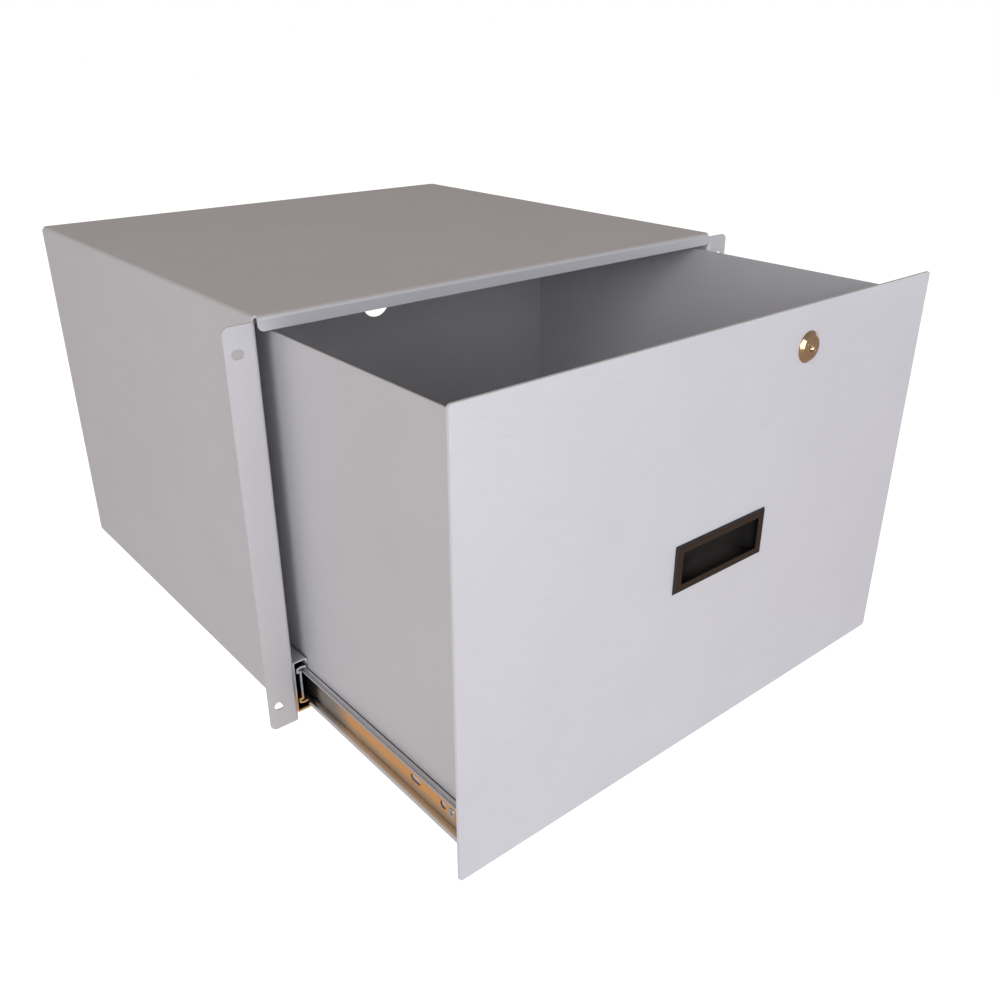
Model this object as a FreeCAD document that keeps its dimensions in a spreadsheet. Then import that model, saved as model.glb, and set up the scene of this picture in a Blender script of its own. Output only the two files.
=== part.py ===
import FreeCAD, Part
import itertools
import math
import operator
import os
import Sketcher

# Sliding rack drawer, seven rack units high, for 19 inch racks. Millimetres.
# X runs to the right, Y to the rear, Z up. The origin is the centre of the four ear slots,
# on the rear face of the ears, which is the face that seats on the rack rails.
# The drawer stands part way open: its rails are out and the middle rails are still home.

# Driving sizes: alias, value in millimetres, what it is.
SIZES = [
    ("ear_span", 482.6, "width over both rack ears, the 19 inch panel width"),
    ("slot_inset", 8.75, "slot centre in from the end of its ear"),
    ("slot_rise", 266.7, "slot centres up the rack, six rack units"),
    ("slot_long", 8.9, "slot length, end to end"),
    ("slot_high", 6.5, "slot width"),
    ("ear_drop", 3.3, "ear top below the top sheet"),
    ("ear_corner", 5.0, "ear corner radius"),
    ("ear_wide", 21.4, "width of an ear, from the chassis side"),
    ("chassis_margin", 20.4, "chassis past the slot centres, above and below"),
    ("chassis_lift", 0.95, "chassis centre above the slot pattern centre"),
    ("rear_room", 9.0, "chassis rear edge behind the outer rails"),
    ("chassis_sheet", 1.5, "chassis sheet thickness"),
    ("chassis_bend", 1.5, "inner bend radius of the chassis"),
    ("lip_drop", 10.0, "height of the front lip under the top sheet"),
    ("rear_lip_drop", 12.0, "height of the rear lip under the top sheet"),
    ("lip_corner", 3.8, "corner radius of the lips"),
    ("slide_room", 12.7, "room for one slide between chassis and drawer"),
    ("drawer_out", 199.0, "how far the drawer stands open at rest"),
    ("closed_gap", 0.3, "gap between panel and ears when closed"),
    ("drawer_clear", 2.4, "drawer side top below the front lip"),
    ("drawer_lift", 1.6, "drawer underside above the bottom edge of the chassis"),
    ("drawer_past", 2.7, "drawer box past the rear end of its rails"),
    ("drawer_sheet", 1.2, "drawer sheet thickness"),
    ("drawer_bend", 1.2, "inner bend radius of the drawer box"),
    ("flange_wide", 14.0, "front flanges that carry the panel"),
    ("flange_relief", 1.0, "gap between neighbouring flanges at a corner"),
    ("cable_hole", 30.0, "diameter of the cable hole in the drawer back"),
    ("cable_drop", 51.4, "cable hole centre below the drawer side top"),
    ("panel_over", 2.35, "front panel past each side of the chassis"),
    ("panel_drop", 0.2, "front panel top below the top sheet"),
    ("panel_lift", 1.1, "front panel above the bottom edge of the chassis"),
    ("panel_sheet", 2.0, "front panel thickness"),
    ("panel_corner", 2.5, "front panel corner radius"),
    ("slide_rise", 25.45, "slide centre line above the drawer underside"),
    ("rail_long", 400.0, "length of the outer and drawer rails"),
    ("rail_setback", 0.5, "front end of the outer rails behind the ear seat"),
    ("rail_sheet", 1.2, "sheet of the middle and drawer rails"),
    ("outer_sheet", 1.3, "sheet of the outer rails"),
    ("outer_bend", 0.6, "inner bend radius of the outer rails"),
    ("hook_gap", 0.8, "outer rail hooks clear of the drawer side"),
    ("hook_drop", 3.5, "height of the hooks on the outer rail"),
    ("inner_half", 12.1, "half height of the drawer rail"),
    ("inner_reach", 4.9, "depth of the drawer rail flanges"),
    ("groove_deep", 1.2, "depth of the ball groove in the drawer rail"),
    ("race_radius", 8.0, "outer radius of the middle rail flanges"),
    ("race_centre", 5.5, "centre of those flanges from the drawer side"),
    ("middle_tip", 2.1, "middle rail flange tips from the drawer side"),
    ("middle_root", 9.8, "back of the middle rail from the drawer side"),
    ("middle_web", 7.4, "back of the middle rail web from the drawer side"),
    ("middle_web_half", 11.4, "half height of the recess in the middle rail"),
    ("middle_short", 6.0, "middle rail shorter than the outer rail by"),
    ("small_ball", 3.175, "diameter of the inner balls"),
    ("large_ball", 4.7625, "diameter of the outer balls"),
    ("ball_play", 0.1, "running clearance of a ball in its race"),
    ("pocket_play", 0.15, "radial clearance of a ball in its cage"),
    ("cage_sheet", 0.5, "sheet of the ball cages"),
    ("cage_gap", 0.4, "clearance between cage and rails"),
    ("cage_long", 170.0, "length of a ball cage"),
    ("cage_start", 15.0, "first reach of a cage behind the rail front"),
    ("ball_margin", 10.0, "end balls from the cage ends"),
    ("stage_travel", 200.0, "travel of each stage of the slide"),
    ("rail_lead", 1.3, "front end of the drawer rail behind the panel"),
    ("bumper_long", 5.0, "length of the nylon end stop"),
    ("bumper_gap", 1.0, "end stop behind the middle rail"),
    ("bumper_half", 17.0, "half height of the end stop"),
    ("screw_hole", 4.6, "clearance hole for an M4 screw"),
    ("screw_first", 24.8, "first drawer rail screw behind the panel"),
    ("screw_last", 56.5, "last drawer rail screw ahead of the rail's rear end"),
    ("screw_apart", 118.5, "distance between the two rear drawer rail screws"),
    ("relief_hole", 6.0, "round hole in the drawer rail"),
    ("relief_first", 34.2, "round hole behind the panel"),
    ("relief_slot", 11.0, "slot length in the drawer rail"),
    ("relief_slot_high", 5.0, "slot width in the drawer rail"),
    ("slot_first", 64.0, "slot centre behind the panel"),
    ("mount_first", 37.0, "first outer rail screw behind the rail front"),
    ("mount_last", 43.0, "last outer rail screw ahead of the rail's rear end"),
    ("access_hole", 10.0, "access hole in the middle rail over each screw"),
    ("pull_wide", 92.4, "pull bezel width"),
    ("pull_high", 35.8, "pull bezel height"),
    ("pull_proud", 1.5, "pull bezel stands proud of the panel"),
    ("pull_across", 2.0, "pull centre to the right of the slot pattern centre"),
    ("pull_lift", -1.2, "pull centre above the slot pattern centre"),
    ("bezel_side", 6.9, "bezel beside the finger opening"),
    ("bezel_over", 6.1, "bezel above and below the finger opening"),
    ("cup_deep", 10.0, "pull cup behind the panel front"),
    ("cup_wall", 1.5, "pull cup wall"),
    ("cup_lead", 1.0, "straight part of the recess ends before they round"),
    ("cup_play", 0.25, "gap between cup and panel cut-out"),
    ("bezel_slope", 1.2, "sloped edge of the bezel"),
    ("snap_high", 1.1, "snap rib height"),
    ("snap_long", 3.5, "snap rib ramp length"),
    ("snap_wide", 20.0, "snap rib width"),
    ("lock_across", 75.0, "lock axis to the right of centre"),
    ("lock_drop", 29.2, "lock axis below the top sheet"),
    ("lock_collar", 1.6, "lock head past its barrel, all round"),
    ("lock_slope", 2.75, "width of the sloped ring on the lock head"),
    ("lock_proud", 2.8, "lock head stands proud of the panel"),
    ("lock_rim", 0.6, "straight rim of the lock head"),
    ("barrel_wide", 18.8, "lock barrel diameter"),
    ("barrel_long", 12.0, "lock barrel behind the panel front"),
    ("barrel_play", 0.1, "radial gap between barrel and panel hole"),
    ("plug_wide", 11.1, "lock plug diameter"),
    ("plug_play", 0.05, "radial running clearance of the plug"),
    ("key_wide", 2.2, "key slot width"),
    ("key_high", 6.6, "key slot height"),
    ("key_deep", 9.0, "key slot depth"),
    ("cam_square", 7.0, "square end of the plug"),
    ("cam_play", 0.1, "gap round the square end"),
    ("cam_sheet", 2.0, "lock cam thickness"),
    ("cam_wide", 12.0, "lock cam width"),
    ("cam_hub", 7.0, "lock cam reach behind the axis"),
    ("cam_crank", 15.0, "radius where the cam steps forward"),
    ("cam_long", 25.5, "lock cam reach"),
    ("catch_gap", 0.5, "cam behind the front lip when locked"),
    ("lock_nut_wall", 1.6, "lock nut flats past the barrel"),
    ("lock_nut_high", 3.6, "lock nut height"),
    ("thread_play", 0.05, "radial gap at a simplified thread"),
    ("bolt_wide", 4.0, "cam bolt diameter"),
    ("bolt_deep", 6.0, "cam bolt reach into the plug"),
    ("bolt_flange", 11.0, "cam bolt flange diameter"),
    ("bolt_flange_high", 1.0, "cam bolt flange thickness"),
    ("bolt_flats", 7.0, "cam bolt head across flats"),
    ("bolt_head", 2.6, "cam bolt head height"),
    ("bolt_tip_gap", 0.3, "cam bolt end clear of the hole bottom"),
]
BALLS_PER_ROW = 4
RAIL_SCREWS = 3
SIDES = {"left": -1, "right": 1}
SIGNS = {"+": operator.add, "-": operator.sub, "*": operator.mul, "/": operator.truediv}

doc = FreeCAD.newDocument("SlidingRackDrawer")
sheet = doc.addObject("Spreadsheet::Sheet", "Sizes")


class Size:
    """A length: its present value and the sheet expression that drives it."""

    def __init__(self, value, text):
        self.value = value
        self.text = text

    def __add__(self, other):
        return combine(self, "+", other)

    def __radd__(self, other):
        return combine(other, "+", self)

    def __sub__(self, other):
        return combine(self, "-", other)

    def __rsub__(self, other):
        return combine(other, "-", self)

    def __mul__(self, other):
        return combine(self, "*", other)

    def __rmul__(self, other):
        return combine(other, "*", self)

    def __truediv__(self, other):
        return combine(self, "/", other)

    def __neg__(self):
        return combine(-1, "*", self)


def as_size(number):
    """Plain numbers join an expression as constants."""
    return number if isinstance(number, Size) else Size(float(number), f"({number})")


def combine(left, sign, right):
    """One step of arithmetic, in the value and in the expression alike."""
    left = as_size(left)
    right = as_size(right)
    return Size(SIGNS[sign](left.value, right.value), f"({left.text} {sign} {right.text})")


def root(square):
    """Square root of a size expression."""
    return Size(math.sqrt(square.value), f"sqrt({square.text})")


class Measures:
    """Every alias of the sheet, as a Size."""


cell = Measures()
for row, (alias, number, words) in enumerate(SIZES, start=1):
    sheet.set(f"A{row}", words)
    sheet.set(f"B{row}", str(number))
    sheet.setAlias(f"B{row}", alias)
    setattr(cell, alias, Size(number, f"Sizes.{alias}"))
doc.recompute()

# Places worked out from the driving sizes.
ear_face = -cell.chassis_sheet
half_ear = cell.ear_span / 2
slot_across = half_ear - cell.slot_inset
half_chassis = half_ear - cell.ear_wide
side_inner = half_chassis - cell.chassis_sheet
half_drawer = side_inner - cell.slide_room
half_height = cell.slot_rise / 2 + cell.chassis_margin
chassis_top = cell.chassis_lift + half_height
chassis_low = cell.chassis_lift - half_height
chassis_rear = cell.rail_setback + cell.rail_long + cell.rear_room
bend_out = cell.chassis_bend + cell.chassis_sheet
bend_start = ear_face + bend_out
ear_top = chassis_top - cell.ear_drop
lip_low = chassis_top - cell.lip_drop
panel_rear = ear_face - cell.closed_gap - cell.drawer_out
panel_top = chassis_top - cell.panel_drop
drawer_top = lip_low - cell.drawer_clear
drawer_low = chassis_low + cell.drawer_lift
drawer_deep = cell.rail_lead + cell.rail_long + cell.drawer_past
slide_height = drawer_low + cell.slide_rise
half_grip = cell.pull_wide / 2 - cell.bezel_side
grip_up = cell.pull_high / 2 - cell.bezel_over
cup_corner = cell.cup_deep - cell.cup_lead
lock_height = chassis_top - cell.lock_drop
lock_head = cell.barrel_wide / 2 + cell.lock_collar
lock_face = lock_head - cell.lock_slope

# The slide section: across is measured outward from the drawer side, up from its centre line.
inner_groove = cell.inner_half - cell.groove_deep
groove_middle = (cell.rail_sheet + cell.inner_reach) / 2
groove_half = (cell.inner_reach - cell.rail_sheet) / 2
groove_radius = (groove_half * groove_half + cell.groove_deep * cell.groove_deep) / (2 * cell.groove_deep)
groove_centre = inner_groove + groove_radius
small_ball_up = inner_groove + cell.ball_play + cell.small_ball / 2
race_inner = cell.race_radius - cell.rail_sheet
ball_orbit = race_inner - cell.small_ball / 2 - cell.ball_play
ball_offset = cell.race_centre - groove_middle
race_up = small_ball_up - root(ball_orbit * ball_orbit - ball_offset * ball_offset)
race_top = race_up + cell.race_radius
large_ball_up = race_top + cell.ball_play + cell.large_ball / 2
outer_half = large_ball_up + cell.large_ball / 2 + cell.ball_play + cell.outer_sheet
outer_web = cell.slide_room - cell.outer_sheet
hook_inner = cell.hook_gap + cell.outer_sheet
middle_long = cell.rail_long - cell.middle_short
ball_pitch = (cell.cage_long - 2 * cell.ball_margin) / (BALLS_PER_ROW - 1)
mount_pitch = (cell.rail_long - cell.mount_first - cell.mount_last) / (RAIL_SCREWS - 1)
screw_end = cell.rail_long - cell.screw_last
screw_places = (cell.screw_first - cell.rail_lead, screw_end - cell.screw_apart, screw_end)

pieces = []


class Arc:
    """An arc between two corners of a loop: radius, and turn 1 to the left or -1 to the right."""

    def __init__(self, radius, turn):
        self.radius = as_size(radius)
        self.turn = turn


class Ring:
    """A full circle in a sketch."""

    def __init__(self, across, up, radius):
        self.across = as_size(across)
        self.up = as_size(up)
        self.radius = as_size(radius)


def sign(number):
    """Which way a number points: -1, 0 or 1."""
    return (number > 1e-9) - (number < -1e-9)


def expand(corners):
    """Turn rounded corners, given as (across, up, radius), into an arc between two tangent points."""
    loop = []
    for place, item in enumerate(corners):
        if isinstance(item, Arc) or len(item) == 2:
            loop.append(item if isinstance(item, Arc) else (as_size(item[0]), as_size(item[1])))
            continue
        across, up, radius = (as_size(number) for number in item)
        before = corners[place - 1]
        after = corners[(place + 1) % len(corners)]
        come = [sign(across.value - as_size(before[0]).value), sign(up.value - as_size(before[1]).value)]
        go = [sign(as_size(after[0]).value - across.value), sign(as_size(after[1]).value - up.value)]
        loop.append((across - come[0] * radius, up - come[1] * radius))
        loop.append(Arc(radius, come[0] * go[1] - come[1] * go[0]))
        loop.append((across + go[0] * radius, up + go[1] * radius))
    return [item for place, item in enumerate(loop) if not same_place(item, loop[(place + 1) % len(loop)])]


def same_place(item, follower):
    """True for two points of a loop that fall together, as where a bend takes up a whole edge."""
    if isinstance(item, Arc) or isinstance(follower, Arc):
        return False
    return all(abs(here.value - there.value) < 1e-9 for here, there in zip(item, follower))


def arc_centre(start, end, arc):
    """Centre of the short arc from start to end."""
    chord = end - start
    height = math.sqrt(max(arc.radius.value ** 2 - (chord.Length / 2) ** 2, 0.0))
    left = FreeCAD.Vector(-chord.y, chord.x, 0).normalize()
    return start + chord * 0.5 + left * height * arc.turn


def draw_loop(sketch, corners):
    """A closed loop of lines and arcs, each corner placed by a pair of bound dimensions."""
    loop = expand(corners)
    points = [item for item in loop if not isinstance(item, Arc)]
    arcs = []
    for place, item in enumerate(loop):
        if not isinstance(item, Arc):
            follower = loop[(place + 1) % len(loop)]
            arcs.append(follower if isinstance(follower, Arc) else None)
    first = sketch.GeometryCount
    geometry = []
    ends = []
    for place, arc in enumerate(arcs):
        start = FreeCAD.Vector(points[place][0].value, points[place][1].value, 0)
        finish = points[(place + 1) % len(points)]
        end = FreeCAD.Vector(finish[0].value, finish[1].value, 0)
        if arc is None:
            geometry.append(Part.LineSegment(start, end))
            ends.append((1, 2))
            continue
        centre = arc_centre(start, end, arc)
        circle = Part.Circle(centre, FreeCAD.Vector(0, 0, 1), arc.radius.value)
        low, high = (start, end) if arc.turn > 0 else (end, start)
        angles = [math.atan2(spot.y - centre.y, spot.x - centre.x) for spot in (low, high)]
        geometry.append(Part.ArcOfCircle(circle, angles[0], angles[1]))
        ends.append((1, 2) if arc.turn > 0 else (2, 1))
    sketch.addGeometry(geometry, False)
    for place, arc in enumerate(arcs):
        here = first + place
        after = (place + 1) % len(arcs)
        sketch.addConstraint(Sketcher.Constraint(
            "Coincident", here, ends[place][1], first + after, ends[after][0]))
        for kind, size in zip(("DistanceX", "DistanceY"), points[place]):
            bind(sketch, Sketcher.Constraint(kind, -1, 1, here, ends[place][0], size.value), size)
        if arc is not None and half_round(arc, points[place], points[after]):
            kind, size = middle_of(points[place], points[after])
            bind(sketch, Sketcher.Constraint(kind, -1, 1, here, 3, size.value), size)
        elif arc is not None:
            bind(sketch, Sketcher.Constraint("Radius", here, arc.radius.value), arc.radius)


def half_round(arc, start, end):
    """True for an arc that is a full half circle, as at the end of a slot."""
    chord = math.hypot(end[0].value - start[0].value, end[1].value - start[1].value)
    return abs(chord - 2 * arc.radius.value) < 1e-6


def middle_of(start, end):
    """The dimension that places the centre of a half circle whose ends lie square to one axis."""
    if abs(end[0].value - start[0].value) < 1e-9:
        return "DistanceX", start[0]
    return "DistanceY", start[1]


def draw_ring(sketch, ring):
    """A circle with its centre and radius bound."""
    middle = FreeCAD.Vector(ring.across.value, ring.up.value, 0)
    here = sketch.addGeometry(Part.Circle(middle, FreeCAD.Vector(0, 0, 1), ring.radius.value), False)
    bind(sketch, Sketcher.Constraint("DistanceX", -1, 1, here, 3, ring.across.value), ring.across)
    bind(sketch, Sketcher.Constraint("DistanceY", -1, 1, here, 3, ring.up.value), ring.up)
    bind(sketch, Sketcher.Constraint("Radius", here, ring.radius.value), ring.radius)


def bind(sketch, constraint, size):
    """Add one dimension and drive it from the sheet."""
    number = sketch.addConstraint(constraint)
    sketch.setExpression(f"Constraints[{number}]", size.text)


def draw(body, name, plane, loops, level):
    """A sketch on one of the body's own origin planes, raised to a level along its axis."""
    support = next(item for item in body.Origin.OriginFeatures if item.Role == plane)
    sketch = body.newObject("Sketcher::SketchObject", f"{body.Name}_{name}_sketch")
    sketch.AttachmentSupport = (support, [""])
    sketch.MapMode = "FlatFace"
    offset = -as_size(level) if plane == "XZ_Plane" else as_size(level)
    sketch.setExpression("AttachmentOffset.Base.z", offset.text)
    for loop in loops:
        if isinstance(loop, Ring):
            draw_ring(sketch, loop)
        else:
            draw_loop(sketch, loop)
    return sketch


def pad(body, name, plane, loops, low, high):
    """Solid between two levels along the plane's axis."""
    feature = body.newObject("PartDesign::Pad", f"{body.Name}_{name}")
    feature.Profile = (draw(body, name, plane, loops, low), [""])
    feature.setExpression("Length", (as_size(high) - low).text)
    feature.Reversed = plane == "XZ_Plane"
    doc.recompute()
    return feature


def cut(body, name, plane, loops, low, high):
    """Opening between two levels along the plane's axis; it has to take material away."""
    before = body.Shape.Volume
    feature = body.newObject("PartDesign::Pocket", f"{body.Name}_{name}")
    feature.Profile = (draw(body, name, plane, loops, low), [""])
    feature.setExpression("Length", (as_size(high) - low).text)
    feature.Reversed = plane != "XZ_Plane"
    doc.recompute()
    if body.Shape.Volume > before - 1e-6:
        raise RuntimeError(f"{feature.Name} cuts nothing")
    return feature


def spin(body, name, loop):
    """Solid of revolution about the Y axis; the loop gives radius and Y."""
    feature = body.newObject("PartDesign::Revolution", f"{body.Name}_{name}")
    sketch = draw(body, name, "XY_Plane", [loop], 0)
    feature.Profile = (sketch, [""])
    feature.ReferenceAxis = (sketch, ["V_Axis"])
    feature.Angle = 360
    doc.recompute()
    return feature


def round_edges(body, name, radius, along, wanted):
    """Fillet the straight edges that run along one axis through the wanted places."""
    names = []
    for number, edge in enumerate(body.Shape.Edges, start=1):
        if not isinstance(edge.Curve, Part.Line):
            continue
        start, end = (vertex.Point - body.Placement.Base for vertex in edge.Vertexes)
        span = end - start
        if abs(abs(span.dot(along)) - span.Length) < 1e-6 and wanted((start + end) * 0.5):
            names.append(f"Edge{number}")
    if not names:
        raise RuntimeError(f"no edge to round for {name}")
    before = body.Shape.Volume
    base = body.Tip
    feature = body.newObject("PartDesign::Fillet", f"{body.Name}_{name}")
    feature.Base = (base, names)
    feature.setExpression("Radius", as_size(radius).text)
    doc.recompute()
    if abs(body.Shape.Volume - before) < 1e-6:
        raise RuntimeError(f"{feature.Name} rounds nothing")
    return feature


def slope_edges(body, name, width, wanted):
    """Bevel the edges whose middles lie in the wanted place."""
    names = [f"Edge{number}" for number, edge in enumerate(body.Shape.Edges, start=1)
             if wanted(edge.CenterOfMass - body.Placement.Base)]
    if not names:
        raise RuntimeError(f"no edge to bevel for {name}")
    before = body.Shape.Volume
    base = body.Tip
    feature = body.newObject("PartDesign::Chamfer", f"{body.Name}_{name}")
    feature.Base = (base, names)
    feature.setExpression("Size", as_size(width).text)
    doc.recompute()
    if body.Shape.Volume > before - 1e-6:
        raise RuntimeError(f"{feature.Name} bevels nothing")
    return feature


def near(number, size):
    """True where a coordinate sits on a size."""
    return abs(number - as_size(size).value) < 1e-4


def new_body(name, across=0, depth=0, up=0):
    """An empty body with its label and its place."""
    body = doc.addObject("PartDesign::Body", name)
    body.Label = name
    for axis, size in zip("xyz", (across, depth, up)):
        body.setExpression(f"Placement.Base.{axis}", as_size(size).text)
    doc.recompute()
    pieces.append(body)
    return body


def flip(side, loops):
    """The same loops on the left-hand side."""
    if side > 0:
        return loops
    turned = []
    for loop in loops:
        if isinstance(loop, Ring):
            turned.append(Ring(-loop.across, loop.up, loop.radius))
            continue
        turned.append([
            Arc(item.radius, -item.turn) if isinstance(item, Arc) else (-as_size(item[0]), *item[1:])
            for item in loop])
    return turned


def box_loop(left, low, right, high):
    """A rectangle."""
    return [(left, low), (right, low), (right, high), (left, high)]


def slot_loop(across, up, length, height):
    """A slot along the first axis with round ends."""
    reach = (length - height) / 2
    half = height / 2
    return [(across - reach, up - half), (across + reach, up - half), Arc(half, 1),
            (across + reach, up + half), (across - reach, up + half), Arc(half, 1)]


def upright_slot(across, up, height, width):
    """A slot along the second axis with round ends."""
    reach = (height - width) / 2
    half = width / 2
    return [(across + half, up - reach), (across + half, up + reach), Arc(half, 1),
            (across - half, up + reach), (across - half, up - reach), Arc(half, 1)]


def hexagon(across, up, flats):
    """A hexagon standing on a corner."""
    corner = flats / math.sqrt(3)
    half = flats / 2
    return [(across, up - corner), (across + half, up - corner / 2), (across + half, up + corner / 2),
            (across, up + corner), (across - half, up + corner / 2), (across - half, up - corner / 2)]


ALONG_X = FreeCAD.Vector(1, 0, 0)
ALONG_Y = FreeCAD.Vector(0, 1, 0)
ALONG_Z = FreeCAD.Vector(0, 0, 1)


def make_chassis():
    """Top and sides in one bent sheet, with ears turned out of the sides and lips off the top."""
    body = new_body("chassis_shell")
    bend = cell.chassis_bend
    under = chassis_top - cell.chassis_sheet
    hood = [(-half_chassis, chassis_low), (-half_chassis, chassis_top, bend_out),
            (half_chassis, chassis_top, bend_out), (half_chassis, chassis_low),
            (side_inner, chassis_low), (side_inner, under, bend),
            (-side_inner, under, bend), (-side_inner, chassis_low)]
    rear_bend = chassis_rear - bend_out
    pad(body, "hood", "XZ_Plane", [hood], bend_start, rear_bend)
    side_top = chassis_top - bend_out
    strips = [box_loop(side_inner, chassis_low, half_chassis, side_top)]
    pad(body, "side_ends", "XZ_Plane", strips + flip(-1, strips), rear_bend, chassis_rear)
    ears = [[(side_inner, bend_start), (side_inner, ear_face, bend_out), (half_ear, ear_face),
             (half_ear, 0), (half_chassis, 0, bend), (half_chassis, bend_start)]]
    pad(body, "ears", "XY_Plane", ears + flip(-1, ears), chassis_low, ear_top)
    half_lip = half_chassis - bend_out
    front_lip = [(bend_start, chassis_top), (ear_face, chassis_top, bend_out), (ear_face, lip_low),
                 (0, lip_low), (0, under, bend), (bend_start, under)]
    pad(body, "front_lip", "YZ_Plane", [front_lip], -half_lip, half_lip)
    rear_low = chassis_top - cell.rear_lip_drop
    rear_inner = chassis_rear - cell.chassis_sheet
    rear_lip = [(rear_bend, chassis_top), (chassis_rear, chassis_top, bend_out), (chassis_rear, rear_low),
                (rear_inner, rear_low), (rear_inner, under, bend), (rear_bend, under)]
    pad(body, "rear_lip", "YZ_Plane", [rear_lip], -half_lip, half_lip)
    slots = [slot_loop(across * slot_across, up * cell.slot_rise / 2, cell.slot_long, cell.slot_high)
             for across in (-1, 1) for up in (-1, 1)]
    cut(body, "slots", "XZ_Plane", slots, ear_face, 0)
    round_edges(body, "ear_corners", cell.ear_corner, ALONG_Y,
                lambda spot: near(abs(spot.x), half_ear))
    round_edges(body, "lip_corners", cell.lip_corner, ALONG_Y,
                lambda spot: near(abs(spot.x), half_lip) and (near(spot.z, lip_low) or near(spot.z, rear_low)))


def mount_place(number):
    """Distance of an outer rail screw behind the rail front."""
    return cell.mount_first + number * mount_pitch


def make_outer_rail(name, side):
    """Cabinet member: a channel that opens to the drawer, with hooked flanges."""
    body = new_body(f"{name}_outer_rail", side * half_drawer, cell.rail_setback, slide_height)
    tip = outer_half - cell.hook_drop
    inner = outer_half - cell.outer_sheet
    turn = cell.outer_bend + cell.outer_sheet
    section = [(cell.hook_gap, -tip), (cell.hook_gap, -outer_half, turn), (cell.slide_room, -outer_half, turn),
               (cell.slide_room, outer_half, turn), (cell.hook_gap, outer_half, turn), (cell.hook_gap, tip),
               (hook_inner, tip), (hook_inner, inner, cell.outer_bend), (outer_web, inner, cell.outer_bend),
               (outer_web, -inner, cell.outer_bend), (hook_inner, -inner, cell.outer_bend), (hook_inner, -tip)]
    pad(body, "channel", "XZ_Plane", flip(side, [section]), 0, cell.rail_long)
    holes = [Ring(mount_place(number), 0, cell.screw_hole / 2) for number in range(RAIL_SCREWS)]
    low, high = (outer_web, cell.slide_room) if side > 0 else (-cell.slide_room, -outer_web)
    cut(body, "screw_holes", "YZ_Plane", holes, low, high)


def make_bumper(name, side):
    """Nylon end stop in the rear end of the outer rail."""
    start = middle_long + cell.bumper_gap
    body = new_body(f"{name}_end_stop", side * half_drawer, cell.rail_setback + start, slide_height)
    front = cell.inner_reach + cell.cage_gap * 3
    half = cell.bumper_half
    block = [(front, -half, 1.5), (outer_web, -half), (outer_web, half), (front, half, 1.5)]
    pad(body, "block", "XZ_Plane", flip(side, [block]), 0, cell.bumper_long)


def make_middle_rail(name, side):
    """Intermediate member: arched flanges are the ball races, the web is set in between them."""
    body = new_body(f"{name}_middle_rail", side * half_drawer, cell.rail_setback, slide_height)

    def race(radius, across):
        """Height of a flange face at a distance from the drawer side."""
        offset = across - cell.race_centre
        return race_up + root(radius * radius - offset * offset)

    outer = cell.race_radius
    tip = cell.middle_tip
    out_root = cell.middle_root
    in_root = cell.middle_root - cell.rail_sheet
    web_back = cell.middle_web
    web_front = cell.middle_web - cell.rail_sheet
    step_low = cell.middle_web_half
    step_high = cell.middle_web_half + cell.rail_sheet
    section = [(tip, race(outer, tip)), Arc(outer, -1), (out_root, race(outer, out_root)),
               (out_root, step_low), (web_back, step_low), (web_back, -step_low), (out_root, -step_low),
               (out_root, -race(outer, out_root)), Arc(outer, -1), (tip, -race(outer, tip)),
               (tip, -race(race_inner, tip)), Arc(race_inner, 1), (in_root, -race(race_inner, in_root)),
               (in_root, -step_high), (web_front, -step_high), (web_front, step_high), (in_root, step_high),
               (in_root, race(race_inner, in_root)), Arc(race_inner, 1), (tip, race(race_inner, tip))]
    pad(body, "section", "XZ_Plane", flip(side, [section]), 0, middle_long)
    holes = [Ring(mount_place(number), 0, cell.access_hole / 2) for number in range(RAIL_SCREWS)]
    low, high = (web_front, web_back) if side > 0 else (-web_back, -web_front)
    cut(body, "access_holes", "YZ_Plane", holes, low, high)


def make_drawer_rail(name, side):
    """Drawer member: a channel that opens outward, with a ball groove rolled in each flange."""
    body = new_body(f"{name}_drawer_rail", side * half_drawer, panel_rear + cell.rail_lead, slide_height)
    thick = cell.rail_sheet
    reach = cell.inner_reach
    half = cell.inner_half
    back_radius = groove_radius + thick
    back = groove_centre - root(back_radius * back_radius - groove_half * groove_half)
    section = [(0, -half), (0, half), (thick, half), Arc(groove_radius, 1), (reach, half), (reach, back),
               Arc(back_radius, -1), (thick, back), (thick, -back), Arc(back_radius, -1), (reach, -back),
               (reach, -half), Arc(groove_radius, 1), (thick, -half)]
    pad(body, "section", "XZ_Plane", flip(side, [section]), 0, cell.rail_long)
    openings = [Ring(place, 0, cell.screw_hole / 2) for place in screw_places]
    openings.append(Ring(cell.relief_first - cell.rail_lead, 0, cell.relief_hole / 2))
    openings.append(slot_loop(cell.slot_first - cell.rail_lead, 0, cell.relief_slot, cell.relief_slot_high))
    low, high = (0, thick) if side > 0 else (-thick, 0)
    cut(body, "openings", "YZ_Plane", openings, low, high)


def ball_place(number):
    """Distance of a ball behind the front end of its cage."""
    return cell.ball_margin + number * ball_pitch


def make_cage(label, side, start, section, ball_across, ball_up, ball_wide):
    """A pressed ball cage: one strip round the web with a row of pockets in each flange."""
    body = new_body(f"{label}_cage", side * half_drawer, start, slide_height)
    pad(body, "strip", "XZ_Plane", flip(side, [section]), 0, cell.cage_long)
    pocket = ball_wide / 2 + cell.pocket_play
    windows = [box_loop(ball_across - pocket, ball_place(number) - pocket,
                        ball_across + pocket, ball_place(number) + pocket) for number in range(BALLS_PER_ROW)]
    half = cell.cage_sheet
    cut(body, "upper_pockets", "XY_Plane", flip(side, windows), ball_up - half, ball_up + half)
    cut(body, "lower_pockets", "XY_Plane", flip(side, windows), -ball_up - half, -ball_up + half)


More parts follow.
